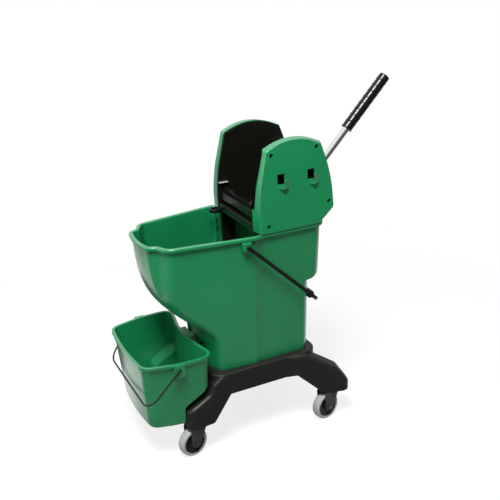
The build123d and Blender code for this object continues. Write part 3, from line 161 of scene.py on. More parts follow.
# Paper: how the floor shows, then how it is mirrored, in metres: white behind a line, dim on the apron before
# it and far out, and dark within two ellipses, (middle, half axes), that stand for the object's own shade
FLOOR_HALF = 20.0
FLOOR_NEAR = 0.8
FLOOR_FADE = (0.45, 1.3)
PAPER_WHITE = 0.9
PAPER_BOUNCE = 0.55
PAPER_BACK = (0.35, 0.94, 0.0)
PAPER_EDGE = (-0.25, 0.05)
APRON_EDGE = (-1.0, -0.7)
APRON_SHINE = 0.17
FAR_EDGE = (0.8, 1.7)
FAR_SHINE = 0.35
SHADE_BELOW = ((0.0, 0.0, 0.0), (0.38, 0.17, 1.0))
SHADE_BEHIND = ((0.12, 0.62, 0.0), (0.66, 0.42, 1.0))
SHADE_EDGE = (0.93, 1.04)
floor_mesh = bpy.data.meshes.new("floor")
floor_corners = [(x * FLOOR_HALF, y * FLOOR_HALF, 0.0) for x, y in ((-1, -1), (1, -1), (1, 1), (-1, 1))]
floor_mesh.from_pydata(floor_corners, [], [(0, 1, 2, 3)])
floor = bpy.data.objects.new("floor", floor_mesh)
scene.collection.objects.link(floor)
paper = bpy.data.materials.new("floor_paper")
paper.use_nodes = True
tree = paper.node_tree
tree.nodes.clear()
place = tree.nodes.new("ShaderNodeTexCoord").outputs["Object"]
reach = vector_node(tree, "LENGTH", place)["Value"]
back = vector_node(tree, "DOT_PRODUCT", place, PAPER_BACK)["Value"]
on_paper = ramp(tree, back, *PAPER_EDGE, 0.0, 1.0)
shine = math_node(tree, "MAXIMUM", on_paper, ramp(tree, back, *APRON_EDGE, 0.0, APRON_SHINE))
shine = math_node(tree, "MULTIPLY", shine, ramp(tree, reach, *FAR_EDGE, 1.0, FAR_SHINE))
for middle, half_axes in (SHADE_BELOW, SHADE_BEHIND):
    beside = vector_node(tree, "SUBTRACT", place, middle)["Vector"]
    around = vector_node(tree, "LENGTH", vector_node(tree, "DIVIDE", beside, half_axes)["Vector"])["Value"]
    shine = math_node(tree, "MULTIPLY", shine, ramp(tree, around, *SHADE_EDGE, 0.0, 1.0))
watched = tree.nodes.new("ShaderNodeLightPath").outputs["Is Camera Ray"]
matt = tree.nodes.new("ShaderNodeBsdfDiffuse")
wire(tree, ramp(tree, watched, 0.0, 1.0, PAPER_BOUNCE, PAPER_WHITE), matt.inputs["Color"])
glow = tree.nodes.new("ShaderNodeEmission")
wire(tree, math_node(tree, "MAXIMUM", shine, watched), glow.inputs["Strength"])
pick = tree.nodes.new("ShaderNodeMixShader")
fade = ramp(tree, reach, *FLOOR_FADE, FLOOR_NEAR, 1.0)
wire(tree, seen_white(tree, fade, 1.0), pick.inputs[0])
wire(tree, matt.outputs[0], pick.inputs[1])
wire(tree, glow.outputs[0], pick.inputs[2])
wire(tree, pick.outputs[0], tree.nodes.new("ShaderNodeOutputMaterial").inputs["Surface"])
floor.data.materials.append(paper)

# Chassis: one black polypropylene moulding, a shallow tray on four hollow legs, with edges eased as they
# leave the mould. Four zinc-plated screws hold the bucket in it from below.
CHASSIS_EDGE = 1.6
EASE_STEPS = 2
SHARP_ANGLE = 32.0
FLAT_ANGLE = 0.2
CAD_MERGE = 0.002
NOISE_BAND = (0.3, 0.7)
CLOUD_SCALE = 9.0
CLOUD_DETAIL = 4.0
SMEAR_SCALE = 42.0
SMEAR_DETAIL = 6.0
SMEAR_GAIN = 0.1
GRAIN_SIZE = 0.7
GRAIN_DETAIL = 2.0
GRAIN_DEPTH = 0.2
COAT_ROUGHNESS = 0.25
bodies = frame["record"]["behaviour"]["bodies"]
slot_of = {s["node"]: s["material_slot"] for s in frame["record"]["subparts"]}
body_of = {node: body for body, members in bodies.items() for node in members}


def noise(tree, place, scale, detail):
    """Soft noise, mostly within the noise band."""
    node = tree.nodes.new("ShaderNodeTexNoise")
    node.inputs["Scale"].default_value = scale
    node.inputs["Detail"].default_value = detail
    wire(tree, place, node.inputs["Vector"])
    return node.outputs["Fac"]


def finish(name, colour, roughness, grain=0.0, tone=0.06, metallic=0.0, specular=0.5, coat=0.0):
    """Material with a cloudy tone, uneven gloss and, where grain is above 0, a fine surface grain."""
    material = bpy.data.materials.new(name)
    material.use_nodes = True
    tree = material.node_tree
    shader = tree.nodes["Principled BSDF"]
    shader.inputs["Metallic"].default_value = metallic
    shader.inputs["Specular IOR Level"].default_value = specular
    shader.inputs["Coat Weight"].default_value = coat
    shader.inputs["Coat Roughness"].default_value = COAT_ROUGHNESS
    place = tree.nodes.new("ShaderNodeTexCoord").outputs["Object"]
    tint = tree.nodes.new("ShaderNodeValToRGB")
    for stop, position, gain in zip(tint.color_ramp.elements, NOISE_BAND, (1.0 - tone, 1.0 + tone)):
        stop.position = position
        stop.color = (*(min(1.0, c * gain) for c in colour), 1.0)
    wire(tree, noise(tree, place, CLOUD_SCALE, CLOUD_DETAIL), tint.inputs["Fac"])
    wire(tree, tint.outputs["Color"], shader.inputs["Base Color"])
    smear = noise(tree, place, SMEAR_SCALE, SMEAR_DETAIL)
    least, most = (1.0 - SMEAR_GAIN) * roughness, (1.0 + SMEAR_GAIN) * roughness
    wire(tree, ramp(tree, smear, *NOISE_BAND, least, most), shader.inputs["Roughness"])
    if grain:
        bump = tree.nodes.new("ShaderNodeBump")
        bump.inputs["Strength"].default_value = grain
        bump.inputs["Distance"].default_value = GRAIN_DEPTH * MM
        wire(tree, noise(tree, place, 1.0 / (GRAIN_SIZE * MM), GRAIN_DETAIL), bump.inputs["Height"])
        wire(tree, bump.outputs["Normal"], shader.inputs["Normal"])
    return material


def settle(made, body, stands_for, angle):
    """Shades a piece smooth up to an angle, ties it to its body, and hides the CAD nodes it stands for."""
    made.data.shade_smooth()
    made.data.set_sharp_from_angle(angle=radians(angle))
    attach(made, body)
    if stands_for:
        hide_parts(*stands_for)


def piece(name, bm, material, body, slot, *stands_for, angle=SHARP_ANGLE):
    """Object from a bmesh, riding on a body and standing for CAD nodes."""
    mesh = bpy.data.meshes.new(name)
    bm.to_mesh(mesh)
    bm.free()
    mesh.materials.append(material)
    made = bpy.data.objects.new(name, mesh)
    scene.collection.objects.link(made)
    settle(made, body, stands_for, angle)
    return made


def eased(name, node, material, edge, angle=SHARP_ANGLE):
    """Piece in a CAD node's place: its faces merged into one skin, its sharp edges rounded off by edge mm."""
    bm = bmesh.new()
    bm.from_mesh(nodes[node].data)
    bmesh.ops.remove_doubles(bm, verts=bm.verts, dist=CAD_MERGE * MM)
    bmesh.ops.dissolve_limit(bm, angle_limit=radians(FLAT_ANGLE), verts=bm.verts, edges=bm.edges)
    made = piece(name, bm, material, body_of[node], slot_of[node], node, angle=angle)
    bevel = made.modifiers.new("eased_edges", "BEVEL")
    bevel.width = edge * MM
    bevel.segments = EASE_STEPS
    bevel.limit_method = "ANGLE"
    bevel.angle_limit = radians(angle)
    bevel.harden_normals = True
    even = made.modifiers.new("even_faces", "WEIGHTED_NORMAL")
    even.keep_sharp = True


def dress(material, *names):
    """Gives CAD nodes that keep their own mesh a material."""
    for name in names:
        nodes[name].data.materials.clear()
        nodes[name].data.materials.append(material)


chassis_black = finish("chassis_moulding", (0.0115, 0.0117, 0.0098), 0.48, grain=0.2, specular=0.3)
zinc = finish("zinc_plate", (0.56, 0.56, 0.58), 0.3, metallic=1.0, grain=0.1)
eased("chassis_tray", "chassis", chassis_black, CHASSIS_EDGE)
dress(zinc, "base_screws")

# Casters: a black moulded hub with a deep dish, in a tyre of grey rubber pressed over it. Each wheel turns
# on a bolt through a black fork, which swivels on a plated stem up inside the leg's end.
TYRE_RADIUS = 37.5
TYRE_HALF = 12.0
TYRE_SHOULDER = 4.6
TYRE_CROWN = 0.7
TYRE_BEAD = ((0.2, 2.0), (1.4, 0.9))
TYRE_GAP = 0.05
TREAD_HALF = 6.0
TREAD_DROP = 0.12
HUB_RADIUS = 29.0
HUB_HALF = 10.5
HUB_EDGE = 0.8
HUB_LIP = 4.0
HUB_LIP_PROUD = 0.6
HUB_LIP_SLOPE = 2.0
HUB_WEB_HALF = 4.5
HUB_DISH_RADIUS = 2.5
HUB_DISH_OUT = 7.0
HUB_BOSS_FOOT = ((0.6, 3.0), (2.0, 0.6))
HUB_BOSS_RADIUS = 10.0
HUB_BOSS_HALF = 14.1
AXLE_RADIUS = 4.05
FORK_EDGE = 0.8
LATHE_STEPS = 72
MERGE = 0.01


def closed(bm):
    """Merges points that meet and turns every face outwards."""
    bmesh.ops.remove_doubles(bm, verts=bm.verts, dist=MERGE * MM)
    bmesh.ops.recalc_face_normals(bm, faces=bm.faces)
    return bm


def lathe(profile, origin, axis):
    """Closed bmesh of (along, radius) points in mm, turned about an axis through a point in metres."""
    turn = Vector((0.0, 0.0, 1.0)).rotation_difference(Vector(axis)).to_matrix().to_4x4()
    place = Matrix.Translation(Vector(origin)) @ turn
    bm = bmesh.new()
    rings = []
    for k in range(LATHE_STEPS):
        a = 2 * pi * k / LATHE_STEPS
        rings.append([bm.verts.new(place @ (Vector((r * cos(a), r * sin(a), h)) * MM)) for h, r in profile])
    for k in range(LATHE_STEPS):
        for i in range(len(profile)):
            bm.faces.new((rings[k - 1][i - 1], rings[k - 1][i], rings[k][i], rings[k][i - 1]))
    return closed(bm)


def arc(centre, radius, start, end, steps=6):
    """Points of an arc between two angles in degrees."""
    angles = [radians(start + (end - start) * k / steps) for k in range(steps + 1)]
    return [(centre[0] + radius * cos(a), centre[1] + radius * sin(a)) for a in angles]


def both_sides(half):
    """Profile of (along, radius) points that leads from the mirror image of a half through that half."""
    return [(-h, r) for h, r in reversed(half) if h > 0.0] + half


tyre_grey = finish("tyre_rubber", (0.29, 0.312, 0.29), 0.5, grain=0.15, specular=0.3)
hub_black = finish("hub_moulding", (0.012, 0.0125, 0.0115), 0.34, grain=0.08, specular=0.4)
fork_black = finish("fork_moulding", (0.036, 0.038, 0.036), 0.4, grain=0.2, specular=0.3)
bolt_dark = finish("blackened_steel", (0.2, 0.2, 0.2), 0.35, metallic=1.0, grain=0.1)
shoulder = (TYRE_HALF - TYRE_SHOULDER, TYRE_RADIUS - TYRE_CROWN - TYRE_SHOULDER)
tyre_side = [(0.0, TYRE_RADIUS), (TREAD_HALF, TYRE_RADIUS - TREAD_DROP)]
tyre_side += arc(shoulder, TYRE_SHOULDER, start=80, end=0)
tyre_side += [(TYRE_HALF - inset, HUB_RADIUS + rise) for inset, rise in TYRE_BEAD]
tyre_side += [(HUB_HALF, HUB_RADIUS + TYRE_GAP)]
lip_face = HUB_HALF + HUB_LIP_PROUD
lip_inner = HUB_RADIUS - HUB_LIP
dish_face = HUB_WEB_HALF + HUB_DISH_RADIUS
hub_side = [(HUB_HALF, HUB_RADIUS), (lip_face, HUB_RADIUS - HUB_EDGE), (lip_face, lip_inner + HUB_EDGE),
            (HUB_HALF, lip_inner), (dish_face, lip_inner - HUB_LIP_SLOPE)]
hub_side += arc((dish_face, HUB_BOSS_RADIUS + HUB_DISH_OUT), HUB_DISH_RADIUS, start=150, end=210, steps=4)
hub_side += [(HUB_WEB_HALF + rise, HUB_BOSS_RADIUS + out) for rise, out in HUB_BOSS_FOOT]
hub_side += [(HUB_BOSS_HALF - HUB_EDGE, HUB_BOSS_RADIUS), (HUB_BOSS_HALF, HUB_BOSS_RADIUS - HUB_EDGE),
             (HUB_BOSS_HALF, AXLE_RADIUS)]
joint_of = {j["name"]: j for j in frame["joints"]}
for corner in ("front_left", "front_right", "rear_left", "rear_right"):
    roll = joint_of["roll_" + corner]
    wheel = "wheel_" + corner
    tyre = lathe(both_sides(tyre_side), roll["pos_m"], roll["axis"])
    piece("tyre_" + corner, tyre, tyre_grey, wheel, "grey_tyre", "wheel_tyre_" + corner)
    hub = lathe(both_sides(hub_side), roll["pos_m"], roll["axis"])
    piece("hub_" + corner, hub, hub_black, wheel, "fork_plastic", "wheel_hub_" + corner)
    eased("fork_" + corner, "caster_fork_" + corner, fork_black, FORK_EDGE)
    dress(bolt_dark, "axle_bolt_" + corner)
    dress(zinc, "caster_stem_" + corner)

# Bucket: one green polypropylene moulding, about 3.5 mm thick. A deep well carries a nose that swells forward
# to a pouring spout, its upper rear stands out over the folded bail, and the rim is turned over all round.
# Lugs for the bail, a hanger for the pail and four screw bosses are moulded with it.
RIM_Z = 555.0
BASE_Z = 200.0
BUCKET_WALL = 3.5
BASE_EDGE = 5.0
BASE_INNER_EDGE = 9.0
WELL_FRONT_X = -187.0
WELL_REAR_X = 84.0
WELL_REAR_DRAFT = 0.5
WELL_RINGS = 22
NOSE_REACH = 128.0
NOSE_MID_Z = 341.0
NOSE_SPREAD = 44.0
HALF_WIDTH_BASE = 114.0
HALF_WIDTH_RIM = 129.0
TAPER_BASE = 0.09
TAPER_RIM = 0.146
SIDE_STEP_X = -64.0
SIDE_STEP = 4.0
SIDE_STEP_RUN = 14.0
SPOUT_HALF_WIDTH = 57.0
SPOUT_DEPTH = 20.0
SPOUT_FADE_Z = (395.0, 520.0)
SPOUT_CROWN = 9.0
SPOUT_FLANK = 9.0
SHOULDER_RUN = 16.0
SHOULDER_LEAST = 4.0
OVERHANG_Z = 404.0
OVERHANG_REAR_X = 118.0
OVERHANG_DRAFT = 4.0
OVERHANG_EDGE = 15.0
OVERHANG_RINGS = 16
RIM_LIP = 7.0
RIM_THICK = 3.5
RIM_SKIRT = 8.5
RIM_SKIRT_WALL = 2.6
RIM_SKIRT_EDGE = 0.6
RIM_EDGE = 3.0
LUG_LOW = (-107.0, 121.5, 524.0)
LUG_HIGH = (-86.0, 137.6, 545.0)
LUG_EDGE = 1.2
HANGER_HALF = 30.0
HANGER_THICK = 4.0
HANGER_FRONT_X = -212.5
HANGER_REAR_X = -188.2
HANGER_LOW_Z = 255.6
HANGER_TOP_Z = 275.6
HANGER_EDGE = 0.8
BOSS_PLACES = ((40.0, 70.0), (40.0, -70.0), (-140.0, 70.0), (-140.0, -70.0))
BOSS_RADIUS = 7.0
BOSS_FOOT = 1.0
BOSS_TOP_Z = 215.0
BOSS_EDGE = 1.5
POST_STEPS = 32
ROUND_STEPS = 3
QUARTER_STEPS = 5
LEAST_RADIUS = 0.4

# Plan corners of the bucket: radius, steps of the arc, points in the run that follows
REAR_CORNER = (24.0, 10, 8)
STEP_IN_CORNER = (14.0, 3, 0)
STEP_OUT_CORNER = (14.0, 3, 10)
SHOULDER_CORNER = (26.0, 8, 2)
NOTCH_CORNER = (8.0, 5, 1)
SPOUT_CORNER = (13.0, 5, 3)
CROWN_CORNER = (200.0, 8, 3)


def rounded(corners, grow):
    """Points round a counterclockwise plan of (x, y, radius, arc steps, points in the run that follows)
    corners, moved out by grow. Plans with the same steps and runs match point for point."""
    count = len(corners)
    at = [Vector(c[:2]) for c in corners]
    sides = [(at[(i + 1) % count] - at[i]).normalized() for i in range(count)]
    arcs = []
    for i, (_, _, radius, steps, _) in enumerate(corners):
        a, b = sides[i - 1], sides[i]
        out_a, out_b = (Vector((d.y, -d.x)) * grow for d in (a, b))
        corner = at[i] + out_a + a * ((out_b - out_a).cross(b) / a.cross(b))
        turn = atan2(a.cross(b), a.dot(b))
        radius = max(LEAST_RADIUS, radius + (grow if turn > 0 else -grow))
        start = corner - a * radius * tan(abs(turn) / 2)
        centre = start + Vector((-a.y, a.x)) * (radius if turn > 0 else -radius)
        spoke = start - centre
        arcs.append([centre + Matrix.Rotation(turn * k / steps, 2) @ spoke for k in range(steps + 1)])
    ring = []
    for i, (*_, run) in enumerate(corners):
        ring += arcs[i]
        ahead = arcs[(i + 1) % count][0]
        ring += [arcs[i][-1].lerp(ahead, (k + 1) / (run + 1)) for k in range(run)]
    return ring


def quarter(first, second):
    """Pairs from first to second along a quarter ellipse that leaves first along the first value."""
    for k in range(QUARTER_STEPS + 1):
        t = k / QUARTER_STEPS * pi / 2
        yield first[0] + (second[0] - first[0]) * sin(t), first[1] + (second[1] - first[1]) * (1.0 - cos(t))


def smooth_step(low, high, at):
    """Smooth step from 0 at low to 1 at high."""
    t = min(1.0, max(0.0, (at - low) / (high - low)))
    return t * t * (3.0 - 2.0 * t)


def share_up(z):
    """Height as a share of the bucket, 0 at its base and 1 at its rim."""
    return (z - BASE_Z) / (RIM_Z - BASE_Z)


def half_width(z):
    """Half the bucket's width at height z, at its widest."""
    return HALF_WIDTH_BASE + (HALF_WIDTH_RIM - HALF_WIDTH_BASE) * share_up(z)


def bucket_plan(z, rear_x):
    """Corners of the bucket's plan at height z."""
    front = WELL_FRONT_X - NOSE_REACH * exp(-exp((NOSE_MID_Z - z) / NOSE_SPREAD))
    wide = half_width(z)
    taper = TAPER_BASE + (TAPER_RIM - TAPER_BASE) * share_up(z)
    notch_x = front + SHOULDER_LEAST + (SPOUT_DEPTH - SHOULDER_LEAST) * smooth_step(*SPOUT_FADE_Z, z)
    shoulder_x = notch_x + SHOULDER_RUN
    half = [
        (rear_x, wide - SIDE_STEP, *REAR_CORNER),
        (SIDE_STEP_X + SIDE_STEP_RUN / 2, wide - SIDE_STEP, *STEP_IN_CORNER),
        (SIDE_STEP_X - SIDE_STEP_RUN / 2, wide, *STEP_OUT_CORNER),
        (shoulder_x, wide - taper * (SIDE_STEP_X - shoulder_x), *SHOULDER_CORNER),
        (notch_x, SPOUT_HALF_WIDTH + SPOUT_FLANK, *NOTCH_CORNER),
        (front, SPOUT_HALF_WIDTH, *SPOUT_CORNER),
    ]
    crown = [(front - SPOUT_CROWN, 0.0, *CROWN_CORNER)]
    runs = [half[i - 1][-1] for i in range(len(half))]
    other = [(x, -y, radius, steps, run) for (x, y, radius, steps, _), run in zip(half, runs)]
    return half + crown + other[::-1]


def well_rear(z):
    """Rear of the well at height z."""
    return WELL_REAR_X + WELL_REAR_DRAFT * share_up(z)


def overhang_rear(z):
    """Rear of the overhang at height z."""
    return OVERHANG_REAR_X - OVERHANG_DRAFT * (RIM_Z - z) / (RIM_Z - OVERHANG_Z)


def bucket_wall(grow, low, edge, ledge_z, ledge_edge, high):
    """(grow, z, rear x) of each ring up one face of the bucket wall, from its floor to its rim."""
    rings = [(grow - edge - g, low + z, well_rear(low)) for g, z in quarter((0.0, 0.0), (-edge, edge))]
    foot = low + edge
    for k in range(1, WELL_RINGS + 1):
        z = foot + (ledge_z - foot) * k / WELL_RINGS
        rings.append((grow, z, well_rear(z)))
    top = overhang_rear(ledge_z)
    for x, z in quarter((top - ledge_edge, ledge_z), (top, ledge_z + ledge_edge)):
        rings.append((grow, z, x))
    foot = ledge_z + ledge_edge
    for k in range(1, OVERHANG_RINGS + 1):
        z = foot + (high - foot) * k / OVERHANG_RINGS
        rings.append((grow, z, overhang_rear(z)))
    return rings


def skin(mesh_rings):
    """Closed bmesh through rings of points in millimetres, with a flat face over the first and last ring."""
    bm = bmesh.new()
    made = [[bm.verts.new(Vector(p) * MM) for p in ring] for ring in mesh_rings]
    for low, high in zip(made, made[1:]):
        for i in range(len(low)):
            bm.faces.new((low[i - 1], low[i], high[i], high[i - 1]))
    bm.faces.new(made[0][::-1])
    bm.faces.new(made[-1])
    return closed(bm)


def round_off(bm, edges, radius):
    """Rounds each of some edges of a bmesh by a radius in millimetres."""
    each = list(dict.fromkeys(edges))
    bmesh.ops.bevel(bm, geom=each, offset=radius * MM, segments=ROUND_STEPS, profile=0.5, affect="EDGES")


def block(bm, low, high, edge):
    """Adds a box between two corners in millimetres, its edges rounded."""
    corners = bmesh.ops.create_cube(bm, size=1.0)["verts"]
    for v in corners:
        v.co = Vector([(a + b) / 2 + c * abs(b - a) for a, b, c in zip(low, high, v.co)]) * MM
    round_off(bm, (e for v in corners for e in v.link_edges), edge)


def side_block(bm, side, low, high, edge):
    """Adds a rounded box between two corners on the far side, or on the near one where side is -1."""
    ends = sorted((side * low[1], side * high[1]))
    block(bm, (low[0], ends[0], low[2]), (high[0], ends[1], high[2]), edge)


def post(bm, x, y, radius, low, high, edge):
    """Adds an upright round post in millimetres, its top edge rounded."""
    middle = Matrix.Translation(Vector((x, y, (low + high) / 2)) * MM)
    made = bmesh.ops.create_cone(bm, cap_ends=True, segments=POST_STEPS, radius1=radius * MM,
                                 radius2=radius * MM, depth=(high - low) * MM, matrix=middle)["verts"]
    upper = [v for v in made if v.co.z > (low + high) / 2 * MM]
    round_off(bm, (e for v in upper for e in v.link_edges if all(w in upper for w in e.verts)), edge)


green = finish("green_moulding", (0.006, 0.19, 0.065), 0.34, grain=0.12, specular=0.4, coat=1.0)
under_lip = RIM_Z - RIM_THICK
skirt_low = RIM_Z - RIM_SKIRT
skirt_inner = RIM_LIP - RIM_SKIRT_WALL
outside = bucket_wall(0.0, BASE_Z, BASE_EDGE, OVERHANG_Z, OVERHANG_EDGE, under_lip)
lip = [(skirt_inner, under_lip), (skirt_inner, skirt_low)]
lip += [(RIM_LIP - RIM_SKIRT_EDGE, skirt_low), (RIM_LIP, skirt_low + RIM_SKIRT_EDGE)]
lip += [(g, z) for z, g in quarter((RIM_Z - RIM_EDGE, RIM_LIP), (RIM_Z, RIM_LIP - RIM_EDGE))]
lip += quarter((RIM_EDGE - BUCKET_WALL, RIM_Z), (-BUCKET_WALL, RIM_Z - RIM_EDGE))
inside = bucket_wall(-BUCKET_WALL, BASE_Z + BUCKET_WALL, BASE_INNER_EDGE, OVERHANG_Z + BUCKET_WALL,
                     OVERHANG_EDGE - BUCKET_WALL, RIM_Z - RIM_EDGE)
wall_rings = outside + [(g, z, OVERHANG_REAR_X) for g, z in lip] + inside[::-1]
tub = skin([[(*p, z) for p in rounded(bucket_plan(z, rear), grow)] for grow, z, rear in wall_rings])
for side in (-1.0, 1.0):
    side_block(tub, side, LUG_LOW, LUG_HIGH, LUG_EDGE)
hanger_low = (HANGER_FRONT_X, -HANGER_HALF, HANGER_LOW_Z)
block(tub, hanger_low, (HANGER_REAR_X, HANGER_HALF, HANGER_LOW_Z + HANGER_THICK), HANGER_EDGE)
block(tub, hanger_low, (HANGER_FRONT_X + HANGER_THICK, HANGER_HALF, HANGER_TOP_Z), HANGER_EDGE)
for x, y in BOSS_PLACES:
    post(tub, x, y, BOSS_RADIUS, BASE_Z + BOSS_FOOT, BOSS_TOP_Z, BOSS_EDGE)
piece("bucket_shell", tub, green, "base", "green_plastic", "bucket")

# Step shade: a column of short black bars let into the far wall inside the bucket, along the side step, with
# small gaps between them. Their black is painted shade, for the shadow line at the step's edge. One bar
# is stood on every point of the column, turned to face into the bucket.
MARK_X = -60.5
MARK_TOP_Z = 536.0
MARK_PITCH = 24.0
MARK_COUNT = 6
MARK_WIDE = 3.2
MARK_HIGH = 20.0
MARK_PROUD = 0.7
MARK_SUNK = 1.5
MARK_EDGE = 0.3
FULL_SIZE = 1.0


def repeat_tree():
    """Geometry Nodes that stand a piece on every point, turned to the point's facing, in one finish."""
    tree = bpy.data.node_groups.new("repeat_on_points", "GeometryNodeTree")
    kinds = {"Points": "Geometry", "Piece": "Object", "Size": "Float", "Finish": "Material"}
    for name, kind in kinds.items():
        tree.interface.new_socket(name, in_out="INPUT", socket_type="NodeSocket" + kind)
    tree.interface.new_socket("Result", in_out="OUTPUT", socket_type="NodeSocketGeometry")
    given = tree.nodes.new("NodeGroupInput")
    made = tree.nodes.new("NodeGroupOutput")
    source = tree.nodes.new("GeometryNodeObjectInfo")
    wire(tree, given.outputs["Piece"], source.inputs["Object"])
    facing = tree.nodes.new("GeometryNodeInputNamedAttribute")
    facing.data_type = "FLOAT_VECTOR"
    facing.inputs["Name"].default_value = "facing"
    turn = tree.nodes.new("FunctionNodeAlignRotationToVector")
    turn.axis = "Z"
    wire(tree, facing.outputs["Attribute"], turn.inputs["Vector"])
    stand = tree.nodes.new("GeometryNodeInstanceOnPoints")
    wire(tree, given.outputs["Points"], stand.inputs["Points"])
    wire(tree, source.outputs["Geometry"], stand.inputs["Instance"])
    wire(tree, turn.outputs["Rotation"], stand.inputs["Rotation"])
    wire(tree, given.outputs["Size"], stand.inputs["Scale"])
    real = tree.nodes.new("GeometryNodeRealizeInstances")
    wire(tree, stand.outputs["Instances"], real.inputs["Geometry"])
    paint = tree.nodes.new("GeometryNodeSetMaterial")
    wire(tree, real.outputs["Geometry"], paint.inputs["Geometry"])
    wire(tree, given.outputs["Finish"], paint.inputs["Material"])
    wire(tree, paint.outputs["Geometry"], made.inputs["Result"])
    return tree


def repeated(name, pattern, places, material, body, slot, *stands_for):
    """One plain mesh of a pattern repeated at (point in millimetres, facing) places."""
    points = bpy.data.meshes.new(name)
    points.from_pydata([Vector(p) * MM for p, _ in places], [], [])
    facing = points.attributes.new("facing", "FLOAT_VECTOR", "POINT")
    facing.data.foreach_set("vector", [c for _, f in places for c in f])
    shape = bpy.data.meshes.new(name + "_pattern")
    pattern.to_mesh(shape)
    pattern.free()
    holder = bpy.data.objects.new(name + "_pattern", shape)
    made = bpy.data.objects.new(name, points)
    for item in (holder, made):
        scene.collection.objects.link(item)
    repeat = made.modifiers.new("repeat", "NODES")
    repeat.node_group = repeat_on_points
    inputs = {"Piece": holder, "Size": FULL_SIZE, "Finish": material}
    for socket in repeat_on_points.interface.items_tree:
        if socket.name in inputs:
            repeat[socket.identifier] = inputs[socket.name]
    result = bpy.data.meshes.new_from_object(made.evaluated_get(bpy.context.evaluated_depsgraph_get()))
    made.modifiers.remove(repeat)
    made.data = result
    bpy.data.objects.remove(holder)
    settle(made, body, stands_for, SHARP_ANGLE)


def mark_y(z):
    """Inner face of the bucket's far wall at height z, where the marks stand on the side step."""
    down_step = (MARK_X - SIDE_STEP_X) / SIDE_STEP_RUN + 0.5
    return half_width(z) - BUCKET_WALL - down_step * SIDE_STEP


repeat_on_points = repeat_tree()
# Near-black bars: painted shade for the shadow line along the side step's edge.
step_shade_black = finish("painted_step_shade", (0.008, 0.02, 0.012), 0.5, specular=0.2)
mark = bmesh.new()
mark_low = (-MARK_WIDE / 2, -MARK_HIGH / 2, -MARK_SUNK)
mark_high = (MARK_WIDE / 2, MARK_HIGH / 2, MARK_PROUD)
block(mark, mark_low, mark_high, MARK_EDGE)
heights = [MARK_TOP_Z - MARK_PITCH * k for k in range(MARK_COUNT)]
marks = [((MARK_X, mark_y(z), z), (0.0, -1.0, 0.0)) for z in heights]
repeated("level_marks", mark, marks, step_shade_black, "base", "black_plastic")

# Bail: a black steel strap that carries the whole bucket, with a moulded hand sleeve over its middle. It
# turns on two shouldered pins in the lugs and hangs behind the bucket.
STRAP_EDGE = 0.7
SLEEVE_EDGE = 0.5
bail_black = finish("coated_strap", (0.008, 0.008, 0.008), 0.36, grain=0.1, specular=0.35)
eased("bail_strap", "main_bail", bail_black, STRAP_EDGE)
eased("bail_hand_sleeve", "bail_sleeve", bail_black, SLEEVE_EDGE)
dress(bail_black, "bail_pins")

# Pail: a green moulding that hangs on the bucket's hanger by a hook behind its rim, hollowed over the front
# legs. Its handle is a bent wire with a black coat, sprung into the two ears.
PAIL_EDGE = 1.3
wire_black = finish("coated_wire", (0.008, 0.008, 0.008), 0.35, grain=0.05, specular=0.35)
eased("pail_shell", "pail", green, PAIL_EDGE)
dress(wire_black, "pail_bail")

# Wringer frame: two black side plates joined by a beam, a perforated jaw and a tie, with a ring at the far
# front for a tool's handle. A matt flange edges the near plate's front and draws in round its upper corner,
# and a tab on each plate stops the mop. The tabs' light grey is a painted highlight, for the sheen on the top
# of a black ledge.
FRAME_EDGE = 0.8
BAR_EDGE = 1.5
HANDLE_RING_EDGE = 1.4
CHEEK_INNER = 97.0
FLANGE_PROUD = 1.0
FLANGE_SUNK = 1.5
FLANGE_OUTER = 110.0
FLANGE_LINE = ((-63.0, 615.0, 0.0), (-58.5, 660.0, 0.0), (-48.0, 704.4, 0.0), (-38.2, 745.0, 0.0),
               (-37.1, 748.8, 1.5), (-35.0, 751.3, 4.0), (-32.4, 753.0, 7.0))
TAB_LOW = (-60.0, 88.0, 624.0)
TAB_HIGH = (-35.0, 97.5, 626.0)
TAB_EDGE = 0.4
frame_black = finish("frame_moulding", (0.0045, 0.0047, 0.0033), 0.36, grain=0.15, specular=0.3)
bar_black = finish("bar_moulding", (0.006, 0.0065, 0.005), 0.28, grain=0.1, specular=0.6)
# Light grey as a painted highlight, standing in for the sheen on the top of a black ledge.
ledge_sheen_grey = finish("painted_ledge_sheen", (0.3, 0.3, 0.29), 0.5, metallic=0.2)
matt_black = finish("matt_moulding", (0.0035, 0.0035, 0.003), 0.8, grain=0.3, specular=0.0)
for side in ("left", "right"):
    eased("side_plate_" + side, "cheek_" + side, frame_black, FRAME_EDGE)
eased("lower_beam", "front_beam", bar_black, BAR_EDGE)
eased("jaw", "front_jaw", bar_black, BAR_EDGE)
eased("rear_tie", "tie_rod", frame_black, FRAME_EDGE)
eased("handle_ring", "tool_ring", frame_black, HANDLE_RING_EDGE)
dress(frame_black, "lever_bushes", "press_bushes")
dress(zinc, "frame_screws")
flange_rings = []
for x, z, drawn_in in FLANGE_LINE:
    face, root, outer = x - FLANGE_PROUD, x + FLANGE_SUNK, FLANGE_OUTER - drawn_in
    corners = ((face, -CHEEK_INNER), (face, -outer), (root, -outer), (root, -CHEEK_INNER))
    flange_rings.append([(*corner, z) for corner in corners])
piece("front_flange", skin(flange_rings), matt_black, "wringer", "black_plastic")
for name, side in (("left", -1.0), ("right", 1.0)):
    tab = bmesh.new()
    side_block(tab, side, TAB_LOW, TAB_HIGH, TAB_EDGE)
    piece("stop_tab_" + name, tab, ledge_sheen_grey, "wringer", "zinc_steel")

# Press: a slotted black plate on its own shaft, swung against the jaw by toothed sectors that mesh with
# pinions on the lever's shaft. Shafts are plated steel, gears black acetal.
PRESS_EDGE = 0.6
eased("press", "press_plate", frame_black, PRESS_EDGE)
dress(frame_black, "sector_left", "sector_right", "pinion_left", "pinion_right")
dress(zinc, "lever_shaft", "press_shaft")

